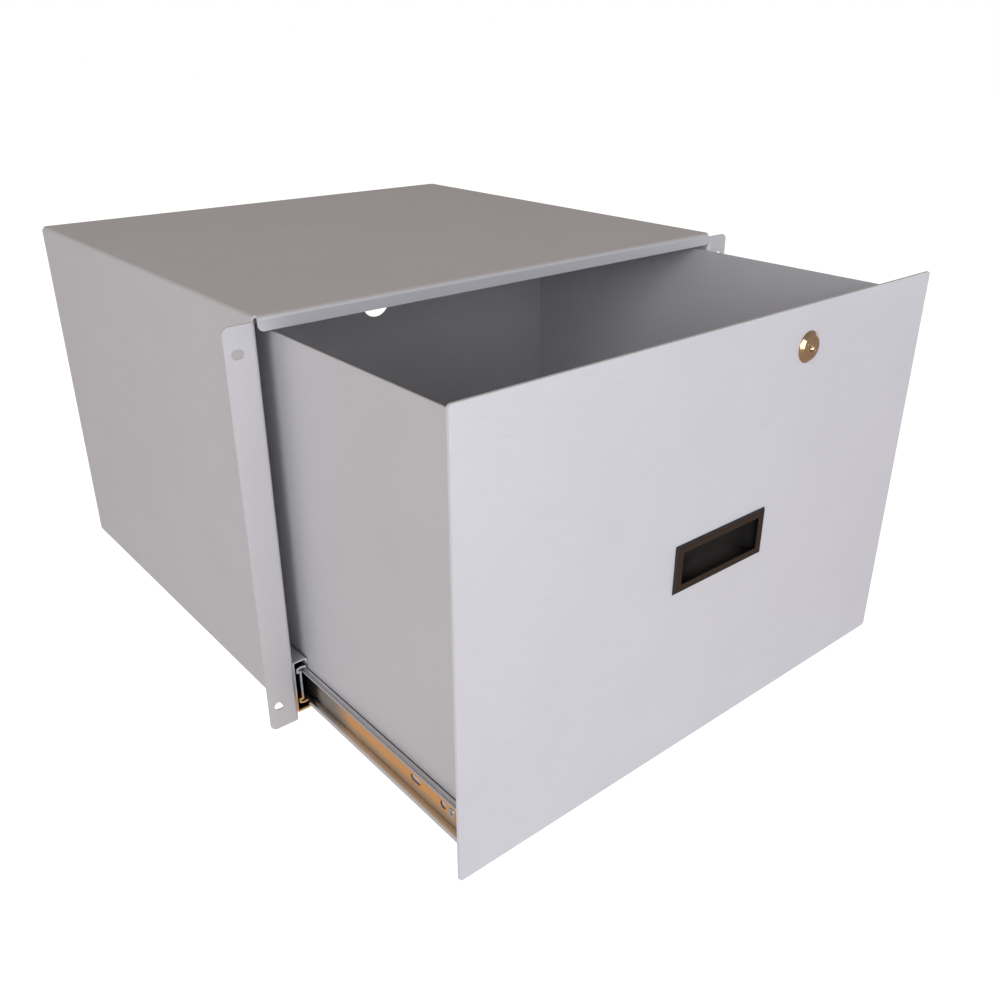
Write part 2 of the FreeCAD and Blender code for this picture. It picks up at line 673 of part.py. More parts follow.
def faceted_ball(radius):
    """A ball of eighty flat facets: an icosahedron, each face split in four and pushed out to the sphere."""
    golden = (1 + math.sqrt(5)) / 2
    corners = []
    for first in (-1, 1):
        for second in (-golden, golden):
            corners += [FreeCAD.Vector(0, first, second), FreeCAD.Vector(first, second, 0),
                        FreeCAD.Vector(second, 0, first)]
    faces = []
    for trio in itertools.combinations(corners, 3):
        sides = [(trio[place] - trio[place - 1]).Length for place in range(3)]
        if max(sides) > 2.01:
            continue
        middles = [trio[place] + trio[place - 1] for place in range(3)]
        small = [(trio[place - 1], middles[place], middles[place - 1]) for place in range(3)] + [tuple(middles)]
        for corner_trio in small:
            spots = [FreeCAD.Vector(corner).normalize() * radius for corner in corner_trio]
            faces.append(Part.Face(Part.makePolygon(spots + spots[:1])))
    ball = Part.makeSolid(Part.makeShell(faces))
    return ball if ball.Volume > 0 else ball.reversed()


def make_balls(label, side, start, ball_across, ball_up, ball_wide):
    """Both rows of balls of one cage, each ball a solid of its own; few facets keep the many balls light."""
    ball = faceted_ball(ball_wide.value / 2)
    places = [FreeCAD.Vector(side * ball_across.value, ball_place(number).value, row * ball_up.value)
              for row in (1, -1) for number in range(BALLS_PER_ROW)]
    group = doc.addObject("Part::Feature", f"{label}_balls")
    group.Label = f"{label}_balls"
    group.Shape = Part.makeCompound([ball.translated(place) for place in places])
    group.setExpression("Placement.Base.x", (side * half_drawer).text)
    group.setExpression("Placement.Base.y", start.text)
    group.setExpression("Placement.Base.z", slide_height.text)
    pieces.append(group)


def make_bearings(name, side):
    """The two ball cages of one slide, with their balls."""
    thick = cell.cage_sheet
    back = cell.middle_root + cell.cage_gap
    recess = cell.middle_web + cell.cage_gap + thick
    step = cell.middle_web_half - cell.cage_gap - thick
    level = large_ball_up
    tip = hook_inner + cell.cage_gap
    outer_strip = [(tip, level + thick / 2), (back + thick, level + thick / 2), (back + thick, step),
                   (recess, step), (recess, -step), (back + thick, -step),
                   (back + thick, -level - thick / 2), (tip, -level - thick / 2), (tip, -level + thick / 2),
                   (back, -level + thick / 2), (back, -step - thick), (recess - thick, -step - thick),
                   (recess - thick, step + thick), (back, step + thick), (back, level - thick / 2),
                   (tip, level - thick / 2)]
    start = cell.rail_setback + cell.stage_travel / 2 + cell.cage_start
    make_cage(f"{name}_outer", side, start, outer_strip, cell.race_centre, level, cell.large_ball)
    make_balls(f"{name}_outer", side, start, cell.race_centre, level, cell.large_ball)
    level = small_ball_up
    front = cell.inner_reach + cell.cage_gap
    rim = groove_middle - groove_half + cell.cage_gap / 4
    inner_strip = [(rim, level + thick / 2), (front + thick, level + thick / 2),
                   (front + thick, -level - thick / 2), (rim, -level - thick / 2), (rim, -level + thick / 2),
                   (front, -level + thick / 2), (front, level - thick / 2), (rim, level - thick / 2)]
    start = cell.rail_setback + cell.cage_start
    make_cage(f"{name}_inner", side, start, inner_strip, groove_middle, level, cell.small_ball)
    make_balls(f"{name}_inner", side, start, groove_middle, level, cell.small_ball)


def make_drawer_wrap():
    """Drawer bottom and sides in one bent sheet, with flanges at the front for the panel."""
    body = new_body("drawer_wrap", 0, panel_rear, 0)
    thick = cell.drawer_sheet
    bend = cell.drawer_bend
    corner = bend + thick
    inner = half_drawer - thick
    floor = drawer_low + thick
    trough = [(-half_drawer, drawer_top), (-half_drawer, drawer_low, corner),
              (half_drawer, drawer_low, corner), (half_drawer, drawer_top), (inner, drawer_top),
              (inner, floor, bend), (-inner, floor, bend), (-inner, drawer_top)]
    pad(body, "trough", "XZ_Plane", [trough], corner, drawer_deep)
    edge = half_drawer - cell.flange_wide
    flange = [(half_drawer, corner), (half_drawer, 0, corner), (edge, 0), (edge, thick),
              (inner, thick, bend), (inner, corner)]
    pad(body, "side_flanges", "XY_Plane", [flange] + flip(-1, [flange]),
        drawer_low + cell.flange_wide + cell.flange_relief, drawer_top)
    sill = [(corner, drawer_low), (0, drawer_low, corner), (0, drawer_low + cell.flange_wide),
            (thick, drawer_low + cell.flange_wide), (thick, floor, bend), (corner, floor)]
    half_sill = edge - cell.flange_relief
    pad(body, "bottom_flange", "YZ_Plane", [sill], -half_sill, half_sill)


def make_drawer_back():
    """Rear wall of the drawer, with a cable hole and a foot flange on the drawer floor."""
    body = new_body("drawer_back", 0, panel_rear + drawer_deep, 0)
    thick = cell.drawer_sheet
    bend = cell.drawer_bend
    half = half_drawer - thick
    floor = drawer_low + thick
    foot = [(0, drawer_top), (0, floor, bend + thick), (-cell.flange_wide, floor),
            (-cell.flange_wide, floor + thick), (-thick, floor + thick, bend), (-thick, drawer_top)]
    half_foot = half - bend
    pad(body, "wall", "YZ_Plane", [foot], -half_foot, half_foot)
    edge = [box_loop(half_foot, floor + bend, half, drawer_top)]
    pad(body, "wall_edges", "XZ_Plane", edge + flip(-1, edge), -thick, 0)
    cut(body, "cable_hole", "XZ_Plane",
        [Ring(0, drawer_top - cell.cable_drop, cell.cable_hole / 2)], -thick, 0)


def make_panel():
    """Flat front panel with the pull cut-out and the lock hole."""
    body = new_body("front_panel", 0, panel_rear, 0)
    half = half_chassis + cell.panel_over
    low = chassis_low + cell.panel_lift
    corner = cell.panel_corner
    plate = [(-half, low, corner), (half, low, corner), (half, panel_top, corner), (-half, panel_top, corner)]
    pad(body, "plate", "XZ_Plane", [plate], -cell.panel_sheet, 0)
    wide = half_grip + cell.cup_wall + cell.cup_play
    high = grip_up + cell.cup_wall + cell.cup_play
    window = box_loop(cell.pull_across - wide, cell.pull_lift - high,
                      cell.pull_across + wide, cell.pull_lift + high)
    bore = Ring(cell.lock_across, lock_height, cell.barrel_wide / 2 + cell.barrel_play)
    cut(body, "cutouts", "XZ_Plane", [window, bore], -cell.panel_sheet, 0)


def make_pull():
    """Moulded recessed pull: a raised bezel, a cup with rounded ends and two snap ribs."""
    body = new_body("recessed_pull", cell.pull_across, panel_rear - cell.panel_sheet, cell.pull_lift)
    half_wide = cell.pull_wide / 2
    half_high = cell.pull_high / 2
    wall = cell.cup_wall
    pad(body, "bezel", "XZ_Plane", [box_loop(-half_wide, -half_high, half_wide, half_high)],
        -cell.pull_proud, 0)
    slope_edges(body, "bezel_slopes", cell.bezel_slope, lambda spot: near(spot.y, -cell.pull_proud))
    outer = cup_corner + wall
    cup = [(-half_grip - wall, 0), (-half_grip - wall, cell.cup_deep + wall, outer),
           (half_grip + wall, cell.cup_deep + wall, outer), (half_grip + wall, 0)]
    pad(body, "cup", "XY_Plane", [cup], -grip_up - wall, grip_up + wall)
    recess = [(-half_grip, -cell.pull_proud), (-half_grip, cell.cup_deep, cup_corner),
              (half_grip, cell.cup_deep, cup_corner), (half_grip, -cell.pull_proud)]
    cut(body, "recess", "XY_Plane", [recess], -grip_up, grip_up)
    rib_start = cell.panel_sheet + cell.cup_play
    foot = grip_up + wall
    ramp = [(rib_start, foot), (rib_start, foot + cell.snap_high), (rib_start + cell.snap_long, foot)]
    under = [(depth, -up) for depth, up in ramp]
    pad(body, "snap_ribs", "YZ_Plane", [ramp, under], -cell.snap_wide / 2, cell.snap_wide / 2)


def lock_place():
    """The lock axis where it meets the panel front."""
    return cell.lock_across, panel_rear - cell.panel_sheet, lock_height


def make_lock_body():
    """Cam lock housing: domed head, barrel and plug bore."""
    body = new_body("lock_body", *lock_place())
    bore = cell.plug_wide / 2
    spin(body, "housing", [
        (bore, -cell.lock_proud), (lock_face, -cell.lock_proud), (lock_head, -cell.lock_rim),
        (lock_head, 0), (cell.barrel_wide / 2, 0), (cell.barrel_wide / 2, cell.barrel_long),
        (bore, cell.barrel_long)])


def make_lock_plug():
    """Keyed plug that turns in the housing, with a square end for the cam."""
    body = new_body("lock_plug", *lock_place())
    radius = cell.plug_wide / 2 - cell.plug_play
    pad(body, "cylinder", "XZ_Plane", [Ring(0, 0, radius)], -cell.lock_proud, cell.barrel_long)
    half = cell.cam_square / 2
    end = cell.barrel_long + cell.cam_sheet
    pad(body, "square", "XZ_Plane", [box_loop(-half, -half, half, half)], cell.barrel_long, end)
    cut(body, "key_slot", "XZ_Plane", [upright_slot(as_size(0), as_size(0), cell.key_high, cell.key_wide)],
        -cell.lock_proud, cell.key_deep - cell.lock_proud)
    cut(body, "bolt_hole", "XZ_Plane", [Ring(0, 0, cell.bolt_wide / 2 + cell.thread_play)],
        end - cell.bolt_deep, end)


def make_lock_cam():
    """Cranked cam: it steps forward past the nut to catch behind the front lip."""
    body = new_body("lock_cam", *lock_place())
    thick = cell.cam_sheet
    back = cell.barrel_long
    tip = cell.panel_sheet + cell.closed_gap + cell.chassis_sheet + cell.catch_gap
    crank = cell.cam_crank
    strap = [(cell.cam_hub, back), (cell.cam_hub, back + thick), (-crank - thick, back + thick, thick),
             (-crank - thick, tip + thick), (-cell.cam_long, tip + thick), (-cell.cam_long, tip),
             (-crank, tip), (-crank, back)]
    half = cell.cam_wide / 2
    pad(body, "strap", "XY_Plane", [strap], -half, half)
    hole = cell.cam_square / 2 + cell.cam_play
    cut(body, "square_hole", "XZ_Plane", [box_loop(-hole, -hole, hole, hole)], back, back + thick)
    round_edges(body, "hub_corners", cell.cam_wide / 3, ALONG_Y,
                lambda spot: near(spot.x, cell.cam_hub) or near(spot.x, -cell.cam_long))


def make_cam_bolt():
    """Bolt and flange that hold the cam on the plug."""
    body = new_body("lock_cam_bolt", *lock_place())
    seat = cell.barrel_long + cell.cam_sheet
    pad(body, "shank", "XZ_Plane", [Ring(0, 0, cell.bolt_wide / 2)],
        seat - cell.bolt_deep + cell.bolt_tip_gap, seat)
    crown = seat + cell.bolt_flange_high
    pad(body, "flange", "XZ_Plane", [Ring(0, 0, cell.bolt_flange / 2)], seat, crown)
    pad(body, "head", "XZ_Plane", [hexagon(as_size(0), as_size(0), cell.bolt_flats)],
        crown, crown + cell.bolt_head)


def make_lock_nut():
    """Nut that clamps the lock in the panel."""
    body = new_body("lock_nut", *lock_place())
    seat = cell.panel_sheet
    loops = [hexagon(as_size(0), as_size(0), cell.barrel_wide + 2 * cell.lock_nut_wall),
             Ring(0, 0, cell.barrel_wide / 2 + cell.thread_play)]
    pad(body, "hexagon", "XZ_Plane", loops, seat, seat + cell.lock_nut_high)


def check_and_export():
    """Nothing is written unless every object and every piece is sound."""
    doc.recompute()
    wrong = {"Invalid", "Error", "Touched"}
    failed = [item.Name for item in doc.Objects if wrong & set(item.State)]
    if failed:
        raise RuntimeError(f"failed objects: {failed}")
    for piece in pieces:
        if piece.Shape.isNull() or not piece.Shape.isValid() or not piece.Shape.Solids:
            raise RuntimeError(f"{piece.Label} has no sound solid")
    os.makedirs("parts", exist_ok=True)
    for piece in pieces:
        piece.Shape.exportStep(f"parts/{piece.Label}.step")
        print(f"{piece.Label}: {len(piece.Shape.Solids)} solid(s), {piece.Shape.Volume:.0f} mm3")


make_chassis()
make_drawer_wrap()
make_drawer_back()
make_panel()
make_pull()
make_lock_body()
make_lock_plug()
make_lock_cam()
make_cam_bolt()
make_lock_nut()
for side_name, side_sign in SIDES.items():
    make_outer_rail(side_name, side_sign)
    make_bumper(side_name, side_sign)
    make_middle_rail(side_name, side_sign)
    make_drawer_rail(side_name, side_sign)
    make_bearings(side_name, side_sign)
check_and_export()
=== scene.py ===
import math

import bmesh
import bpy
import numpy as np
from bpy.props import FloatProperty, FloatVectorProperty, IntProperty, PointerProperty
from mathutils import Euler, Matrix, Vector


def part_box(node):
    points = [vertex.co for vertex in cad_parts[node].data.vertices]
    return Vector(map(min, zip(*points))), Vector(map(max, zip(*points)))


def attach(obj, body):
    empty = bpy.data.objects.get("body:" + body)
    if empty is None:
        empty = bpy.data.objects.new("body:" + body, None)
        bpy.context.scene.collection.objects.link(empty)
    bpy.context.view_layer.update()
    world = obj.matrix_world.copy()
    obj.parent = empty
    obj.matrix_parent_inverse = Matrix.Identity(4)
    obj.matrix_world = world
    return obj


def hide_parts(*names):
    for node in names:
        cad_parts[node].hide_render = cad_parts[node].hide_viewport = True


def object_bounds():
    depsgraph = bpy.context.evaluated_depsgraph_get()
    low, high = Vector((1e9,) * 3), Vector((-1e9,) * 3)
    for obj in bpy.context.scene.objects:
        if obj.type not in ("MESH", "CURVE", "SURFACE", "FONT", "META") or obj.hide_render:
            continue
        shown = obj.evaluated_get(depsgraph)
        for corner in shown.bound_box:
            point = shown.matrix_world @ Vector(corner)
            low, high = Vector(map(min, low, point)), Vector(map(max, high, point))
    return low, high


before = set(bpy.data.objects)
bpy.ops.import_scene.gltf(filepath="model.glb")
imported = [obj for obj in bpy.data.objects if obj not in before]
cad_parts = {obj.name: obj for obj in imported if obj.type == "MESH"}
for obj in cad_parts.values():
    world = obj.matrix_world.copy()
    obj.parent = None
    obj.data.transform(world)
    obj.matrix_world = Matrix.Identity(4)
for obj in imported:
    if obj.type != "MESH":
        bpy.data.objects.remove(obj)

bl_info = {
    "name": "Sliding rack drawer",
    "version": (1, 0, 0),
    "blender": (4, 5, 0),
    "location": "View3D > Sidebar > Rack drawer",
    "description": "Finishes, moulded pull, cam lock, ball slides and studio for a sliding rack drawer",
    "category": "Object",
}

MM = 0.001
CAD_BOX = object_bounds()
X_AXIS = np.array([1.0, 0.0, 0.0])
Y_AXIS = np.array([0.0, 1.0, 0.0])
Z_AXIS = np.array([0.0, 0.0, 1.0])
SIDES = {"left": -1.0, "right": 1.0}

# Sheets and the panel's flange as in the CAD model; M4 thread, socket and nut; and how far a screw or stud
# reaches behind the face it sits on, either through a nut or just through the outer rail.
DRAWER_SHEET = 1.2 * MM
RAIL_SHEET = 1.2 * MM
OUTER_SHEET = 1.3 * MM
FLANGE = 14.0 * MM
M4_RADIUS = 2.0 * MM
M4_PITCH = 0.7 * MM
M4_BEVEL = 0.4 * MM
M4_SOCKET = 3.0 * MM
M4_FLATS = 7.0 * MM
M4_NUT = 3.2 * MM
M4_REACH = 5.2 * MM
M4_SHORT = 0.2 * MM


def linear(code):
    """An sRGB hex colour as linear red, green and blue."""
    channels = np.array([int(code[place:place + 2], 16) for place in (0, 2, 4)]) / 255
    bright = ((channels + 0.055) / 1.055) ** 2.4
    return tuple(np.where(channels <= 0.04045, channels / 12.92, bright).tolist())


def length(name, description, millimetres):
    """A length property with its default in metres."""
    return FloatProperty(name=name, description=description, default=millimetres * MM, unit="LENGTH")


def colour(name, description, code):
    """A colour property with its default from a hex code."""
    return FloatVectorProperty(name=name, description=description, default=linear(code), subtype="COLOR")


def factor(name, description, default):
    """A plain number from 0 to 1."""
    return FloatProperty(name=name, description=description, default=default, min=0.0, max=1.0, subtype="FACTOR")


def position(name, description, metres):
    """A place in the frame."""
    return FloatVectorProperty(name=name, description=description, default=metres, unit="LENGTH",
                               subtype="TRANSLATION")


def angle(name, description, degrees):
    """An angle property with its default in degrees."""
    return FloatProperty(name=name, description=description, default=math.radians(degrees), subtype="ANGLE")


def power(name, description, watts):
    """The power of a light."""
    return FloatProperty(name=name, description=description, default=watts, unit="POWER")


class SheetLook(bpy.types.PropertyGroup):
    """Finish of the sheet metal."""

    chassis: colour("Chassis steel", "Colour of the satin steel chassis", "D8D7DB")
    drawer: colour("Drawer steel", "Colour of the satin steel drawer box", "D6D6DA")
    panel: colour("Panel steel", "Colour of the satin front panel", "E6E6ED")
    sheen: factor("Sheen share", "Share of the surface that mirrors; the satin grain breaks up the rest", 0.4)
    roughness: factor("Roughness", "Roughness of the satin grain", 0.5)
    grain: length("Grain width", "Width of one line of the grain", 0.6)
    grain_run: length("Grain length", "Length of one line of the grain", 24.0)
    cloud: length("Cloud size", "Size of the faint clouds in the finish", 70.0)


class PullSizes(bpy.types.PropertyGroup):
    """The moulded recessed pull."""

    opening_wide: length("Opening width", "Width of the finger opening", 78.6)
    opening_high: length("Opening height", "Height of the finger opening", 23.6)
    slope: length("Slope", "Width of the sloped edge round the bezel", 1.2)
    lip: length("Lip", "Depth of the straight lip inside the opening", 1.6)
    undercut: length("Undercut", "Reach of the groove behind the lip", 0.9)
    undercut_long: length("Undercut length", "Depth of that groove along the pull", 0.9)
    scoop_wide: length("End scoop", "Run of the scooped ends", 27.0)
    scoop_high: length("Side scoop", "Run of the scooped top and bottom", 9.5)
    wall: length("Wall", "Wall of the cup", 1.5)
    corner: length("End radius", "Radius of the rounded ends of the cup outside", 9.0)
    edge: length("Edge radius", "Softness of the moulded edges", 0.3)
    rib_wide: length("Rib width", "Width of the snap ribs", 20.0)
    rib_long: length("Rib length", "Length of the snap ribs along the pull", 3.5)
    rib_high: length("Rib height", "Height of the snap ribs", 1.1)
    rim: colour("Rim", "Colour of the matt rim", "35271B")
    plastic: colour("Plastic", "Colour of the smooth recess", "221D1C")
    # The slopes colour is the plastic made darker and bluer: painted shade and painted reflection on the bezel's
    # slopes.
    slope_shade: colour("Slopes", "Colour of the sloped edge round the bezel", "222125")


class LockSizes(bpy.types.PropertyGroup):
    """The cam lock."""

    face: length("Face diameter", "Flat ring on the lock head", 16.5)
    turn_edge: length("Turned edge", "Radius between the flat ring and its slope", 1.2)
    proud: length("Head height", "Head stands proud of the panel", 2.8)
    rim: length("Rim", "Straight rim of the head", 0.6)
    plug: length("Plug diameter", "Diameter of the turning plug", 11.0)
    sink_wide: length("Key mouth", "Diameter of the countersunk mouth of the key slot", 5.6)
    sink_deep: length("Key mouth depth", "Depth of that countersink", 1.5)
    key_wide: length("Key slot width", "Width of the key slot", 1.3)
    key_high: length("Key slot height", "Height of the key slot", 4.4)
    key_deep: length("Key slot depth", "Depth of the key slot", 9.0)
    barrel: length("Barrel diameter", "Diameter of the threaded barrel", 18.8)
    pitch: length("Thread pitch", "Pitch of the barrel thread", 1.0)
    bronze: colour("Bronze", "Colour of the bronze plate", "B99A79")


class SlideSizes(bpy.types.PropertyGroup):
    """Balls, screws and plating of the slides."""

    screw_first: length("First screw", "First screw behind the front of the drawer rail", 23.5)
    screw_middle: length("Middle screw", "Middle screw behind the front of the drawer rail", 225.0)
    screw_last: length("Last screw", "Last screw behind the front of the drawer rail", 343.5)
    mount_first: length("First rail screw", "First screw behind the front of the outer rail", 37.0)
    mount_pitch: length("Rail screw spacing", "Distance between the screws of the outer rail", 160.0)
    mounts: IntProperty(name="Rail screws", description="Screws in each outer rail", default=3, min=1)
    balls: IntProperty(name="Balls", description="Balls in each row of a cage", default=4, min=2)
    head: length("Screw head", "Diameter of a screw head", 7.0)
    head_high: length("Head height", "Height of a screw head", 0.9)
    plating: colour("Zinc", "Colour of the zinc plating", "C9C9CC")
    # Painted reflection: the warm orange, and the brown below it, are banded by height on the web in place of warm
    # surroundings seen in the zinc.
    warm_reflection: colour("Passivated zinc", "Warm cast of the passivated zinc", "EFAE68")
    brown_reflection: colour("Thin passivation", "Brown cast where the passivation is thin", "C4AC92")
    # Painted shade: this grey-brown darkens the web from about 15 cm behind its front to the rear, where it runs
    # into the chassis.
    inner_web_shade: colour("Worn zinc", "Zinc where the passivation has worn off", "938B84")
    flange: colour("Flange zinc", "Duller zinc on the flanges of the drawer rail", "C0BEC1")
    # Painted shade: this near-black fills the web and the rails' insides from the outer rail's mouth inwards.
    deep_rail_shade: colour("Grease", "Dark grease that the balls drag along the rails", "1B1A1C")
    seam: colour("Seam", "Shadowed gap between drawer rail and drawer side", "3C3B3E")
    # Painted highlights: the rails' cut ends are painted bright, warm below and cool above.
    cut_end_highlight_warm: colour("Warm cut edge", "Bright cut end of a rail, lower part", "F4C48C")
    cut_end_highlight_cool: colour("Cool cut edge", "Bright cut end of a rail, upper part", "E2E5F2")
    # Where the grey-brown painted shade starts and is full, and how far the edge of both painted shades wanders.
    inner_web_shade_start: length("Wear start", "Passivation starts to wear off behind the rail front", 152.0)
    inner_web_shade_end: length("Wear end", "Passivation has worn off behind the rail front", 182.0)
    ragged: length("Ragged wear", "How far the edge of the wear wanders along the rail", 30.0)
    # Where the near-black painted shade starts and is full on the drawer rail's web.
    deep_rail_shade_start: length("Grease start", "Grease starts behind the front of the drawer rail", 198.0)
    deep_rail_shade_end: length("Grease end", "Grease covers the web behind the front of the drawer rail", 203.0)
    ball: colour("Ball steel", "Colour of the polished balls", "D4D5D8")
    nylon: colour("Nylon", "Colour of the end stops", "DAD7CB")


class StudioSizes(bpy.types.PropertyGroup):
    """Floor, light and camera."""

    stand: position("Camera place", "Camera place from the centre of the rack ears", (-0.47945, -0.54717, 0.31101))
    turn: angle("Camera turn", "Turn of the camera to the right of straight ahead", 39.99)
    tilt: angle("Camera tilt", "Tilt of the camera below the horizon", 25.64)
    lens: FloatProperty(name="Lens", description="Focal length in millimetres on a 36 mm sensor", default=34.89)
    floor_gap: length("Floor gap", "Floor below the lowest edge of the part", 1.0)
    floor_half: length("Floor half", "Half of the width of the floor", 8000.0)
    floor_cells: IntProperty(name="Floor cells", description="Cells along one side of the floor", default=8, min=1)
    floor: colour("Floor", "Pale floor", "FFFFFF")
    bounce: colour("Floor light", "Light that the floor sends up to the part", "99938F")
    front: colour("Front light", "Soft surroundings in front of the part", "BAC2D4")
    side: colour("Side light", "Soft surroundings beside and behind the part", "A6A6AC")
    ceiling: colour("Ceiling", "Upper part of the soft surroundings", "907A4C")
    rise_start: factor("Ceiling start", "Sine of the height where the surroundings turn to the ceiling", 0.35)
    rise_end: factor("Ceiling end", "Sine of the height where that turn is complete", 0.95)
    ahead_start: FloatProperty(
        name="Front start", description="Heading's part along the depth where the front light starts", default=0.1)
    ahead_end: FloatProperty(
        name="Front end", description="Heading's part along the depth where the front light is full", default=-0.8)
    surround: FloatProperty(name="Surround strength", description="Strength of the soft surroundings", default=0.96)
    key_power: power("Key power", "Power of the soft key light", 33.0)
    key_place: position("Key place", "Middle of the soft key light", (-2.4, -1.25, 1.0))
    key_wide: length("Key width", "Width of the soft key light", 1200.0)
    key_high: length("Key height", "Height of the soft key light", 1200.0)
    low_power: power("Low power", "Power of the low front light", 6.0)
    low_place: position("Low place", "Middle of the low front light", (-0.26, -1.5, 0.33))
    low_wide: length("Low width", "Width of the low front light", 480.0)
    low_high: length("Low height", "Height of the low front light", 950.0)
    side_power: power("Side power", "Power of the light on the right", 3.0)
    side_place: position("Side place", "Middle of the light on the right", (1.7, -0.1, 0.1))
    side_wide: length("Side width", "Width of the light on the right", 900.0)
    side_high: length("Side height", "Height of the light on the right", 450.0)


GROUPS = {"rack_sheet": SheetLook, "rack_pull": PullSizes, "rack_lock": LockSizes,
          "rack_slide": SlideSizes, "rack_studio": StudioSizes}


def add_node(tree, kind, inputs=None, **settings):
    """Add one node with its settings, and set or link its inputs."""
    made = tree.nodes.new(kind)
    for name, value in settings.items():
        setattr(made, name, value)
    for name, value in (inputs or {}).items():
        if isinstance(value, bpy.types.NodeSocket):
            tree.links.new(value, made.inputs[name])
        else:
            made.inputs[name].default_value = value
    return made


def start_material(name, **shader):
    """A material with one Principled shader, its plain inputs set; returns it, its tree, shader and place."""
    material = bpy.data.materials.new(name)
    material.use_nodes = True
    tree = material.node_tree
    tree.nodes.clear()
    surface = add_node(tree, "ShaderNodeBsdfPrincipled",
                       {key.replace("_", " "): value for key, value in shader.items()})
    add_node(tree, "ShaderNodeOutputMaterial", {"Surface": surface.outputs["BSDF"]})
    place = add_node(tree, "ShaderNodeTexCoord").outputs["Object"]
    return material, tree, surface, place


def rgba(colours, share=1.0):
    """Four channels, darkened or lightened by a share."""
    return (*(min(channel * share, 1.0) for channel in colours), 1.0)


def satin_steel(name, tint, along):
    """Satin sheet steel, rolled and then brushed along one direction: the fine grain breaks up most of
    the reflection, which gives the eye an even soft grey with short hair lines and faint clouds."""
    look = bpy.context.scene.rack_sheet
    material, tree, surface, place = start_material(name, Metallic=look.sheen)
    fine, run = 1 / look.grain, 1 / look.grain_run
    stretched = add_node(tree, "ShaderNodeMapping", {
        "Vector": place, "Scale": tuple(run if axis == along else fine for axis in "XYZ")})
    grain = add_node(tree, "ShaderNodeTexNoise", {"Vector": stretched.outputs[0], "Scale": 1.0, "Detail": 3.0})
    clouds = add_node(tree, "ShaderNodeTexNoise", {"Vector": place, "Scale": 1 / look.cloud, "Detail": 4.0})
    shade = add_node(tree, "ShaderNodeMix", {
        0: clouds.outputs[0], 6: rgba(tint, 0.96), 7: rgba(tint, 1.03)}, data_type="RGBA")
    streaks = add_node(tree, "ShaderNodeMix", {
        0: grain.outputs[0], 6: (0.94, 0.94, 0.94, 1.0), 7: (1.06, 1.06, 1.06, 1.0)}, data_type="RGBA")
    mixed = add_node(tree, "ShaderNodeMix", {0: 1.0, 6: shade.outputs[2], 7: streaks.outputs[2]},
                     data_type="RGBA", blend_type="MULTIPLY")
    tree.links.new(mixed.outputs[2], surface.inputs["Base Color"])
    polish = add_node(tree, "ShaderNodeMapRange", {
        "Value": grain.outputs[0], "To Min": look.roughness - 0.06, "To Max": look.roughness + 0.06})
    tree.links.new(polish.outputs[0], surface.inputs["Roughness"])
    bump = add_node(tree, "ShaderNodeBump", {
        "Height": grain.outputs[0], "Strength": 0.15, "Distance": 0.02 * MM})
    tree.links.new(bump.outputs[0], surface.inputs["Normal"])
    return material


def plated_zinc(name, tint, roughness=0.36, shine=0.8):
    """Bright zinc plate on rolled or turned steel: a cool grey with a slightly cloudy shine."""
    material, tree, surface, place = start_material(name, Metallic=shine)
    clouds = add_node(tree, "ShaderNodeTexNoise", {"Vector": place, "Scale": 1 / (12 * MM), "Detail": 5.0})
    fine = add_node(tree, "ShaderNodeTexNoise", {"Vector": place, "Scale": 1 / (0.4 * MM), "Detail": 2.0})
    shade = add_node(tree, "ShaderNodeMix", {
        0: clouds.outputs[0], 6: rgba(tint, 0.82), 7: rgba(tint, 1.12)}, data_type="RGBA")
    tree.links.new(shade.outputs[2], surface.inputs["Base Color"])
    polish = add_node(tree, "ShaderNodeMapRange", {
        "Value": clouds.outputs[0], "To Min": roughness - 0.08, "To Max": roughness + 0.1})
    tree.links.new(polish.outputs[0], surface.inputs["Roughness"])
    bump = add_node(tree, "ShaderNodeBump", {"Height": fine.outputs[0], "Strength": 0.2, "Distance": 0.01 * MM})
    tree.links.new(bump.outputs[0], surface.inputs["Normal"])
    return material


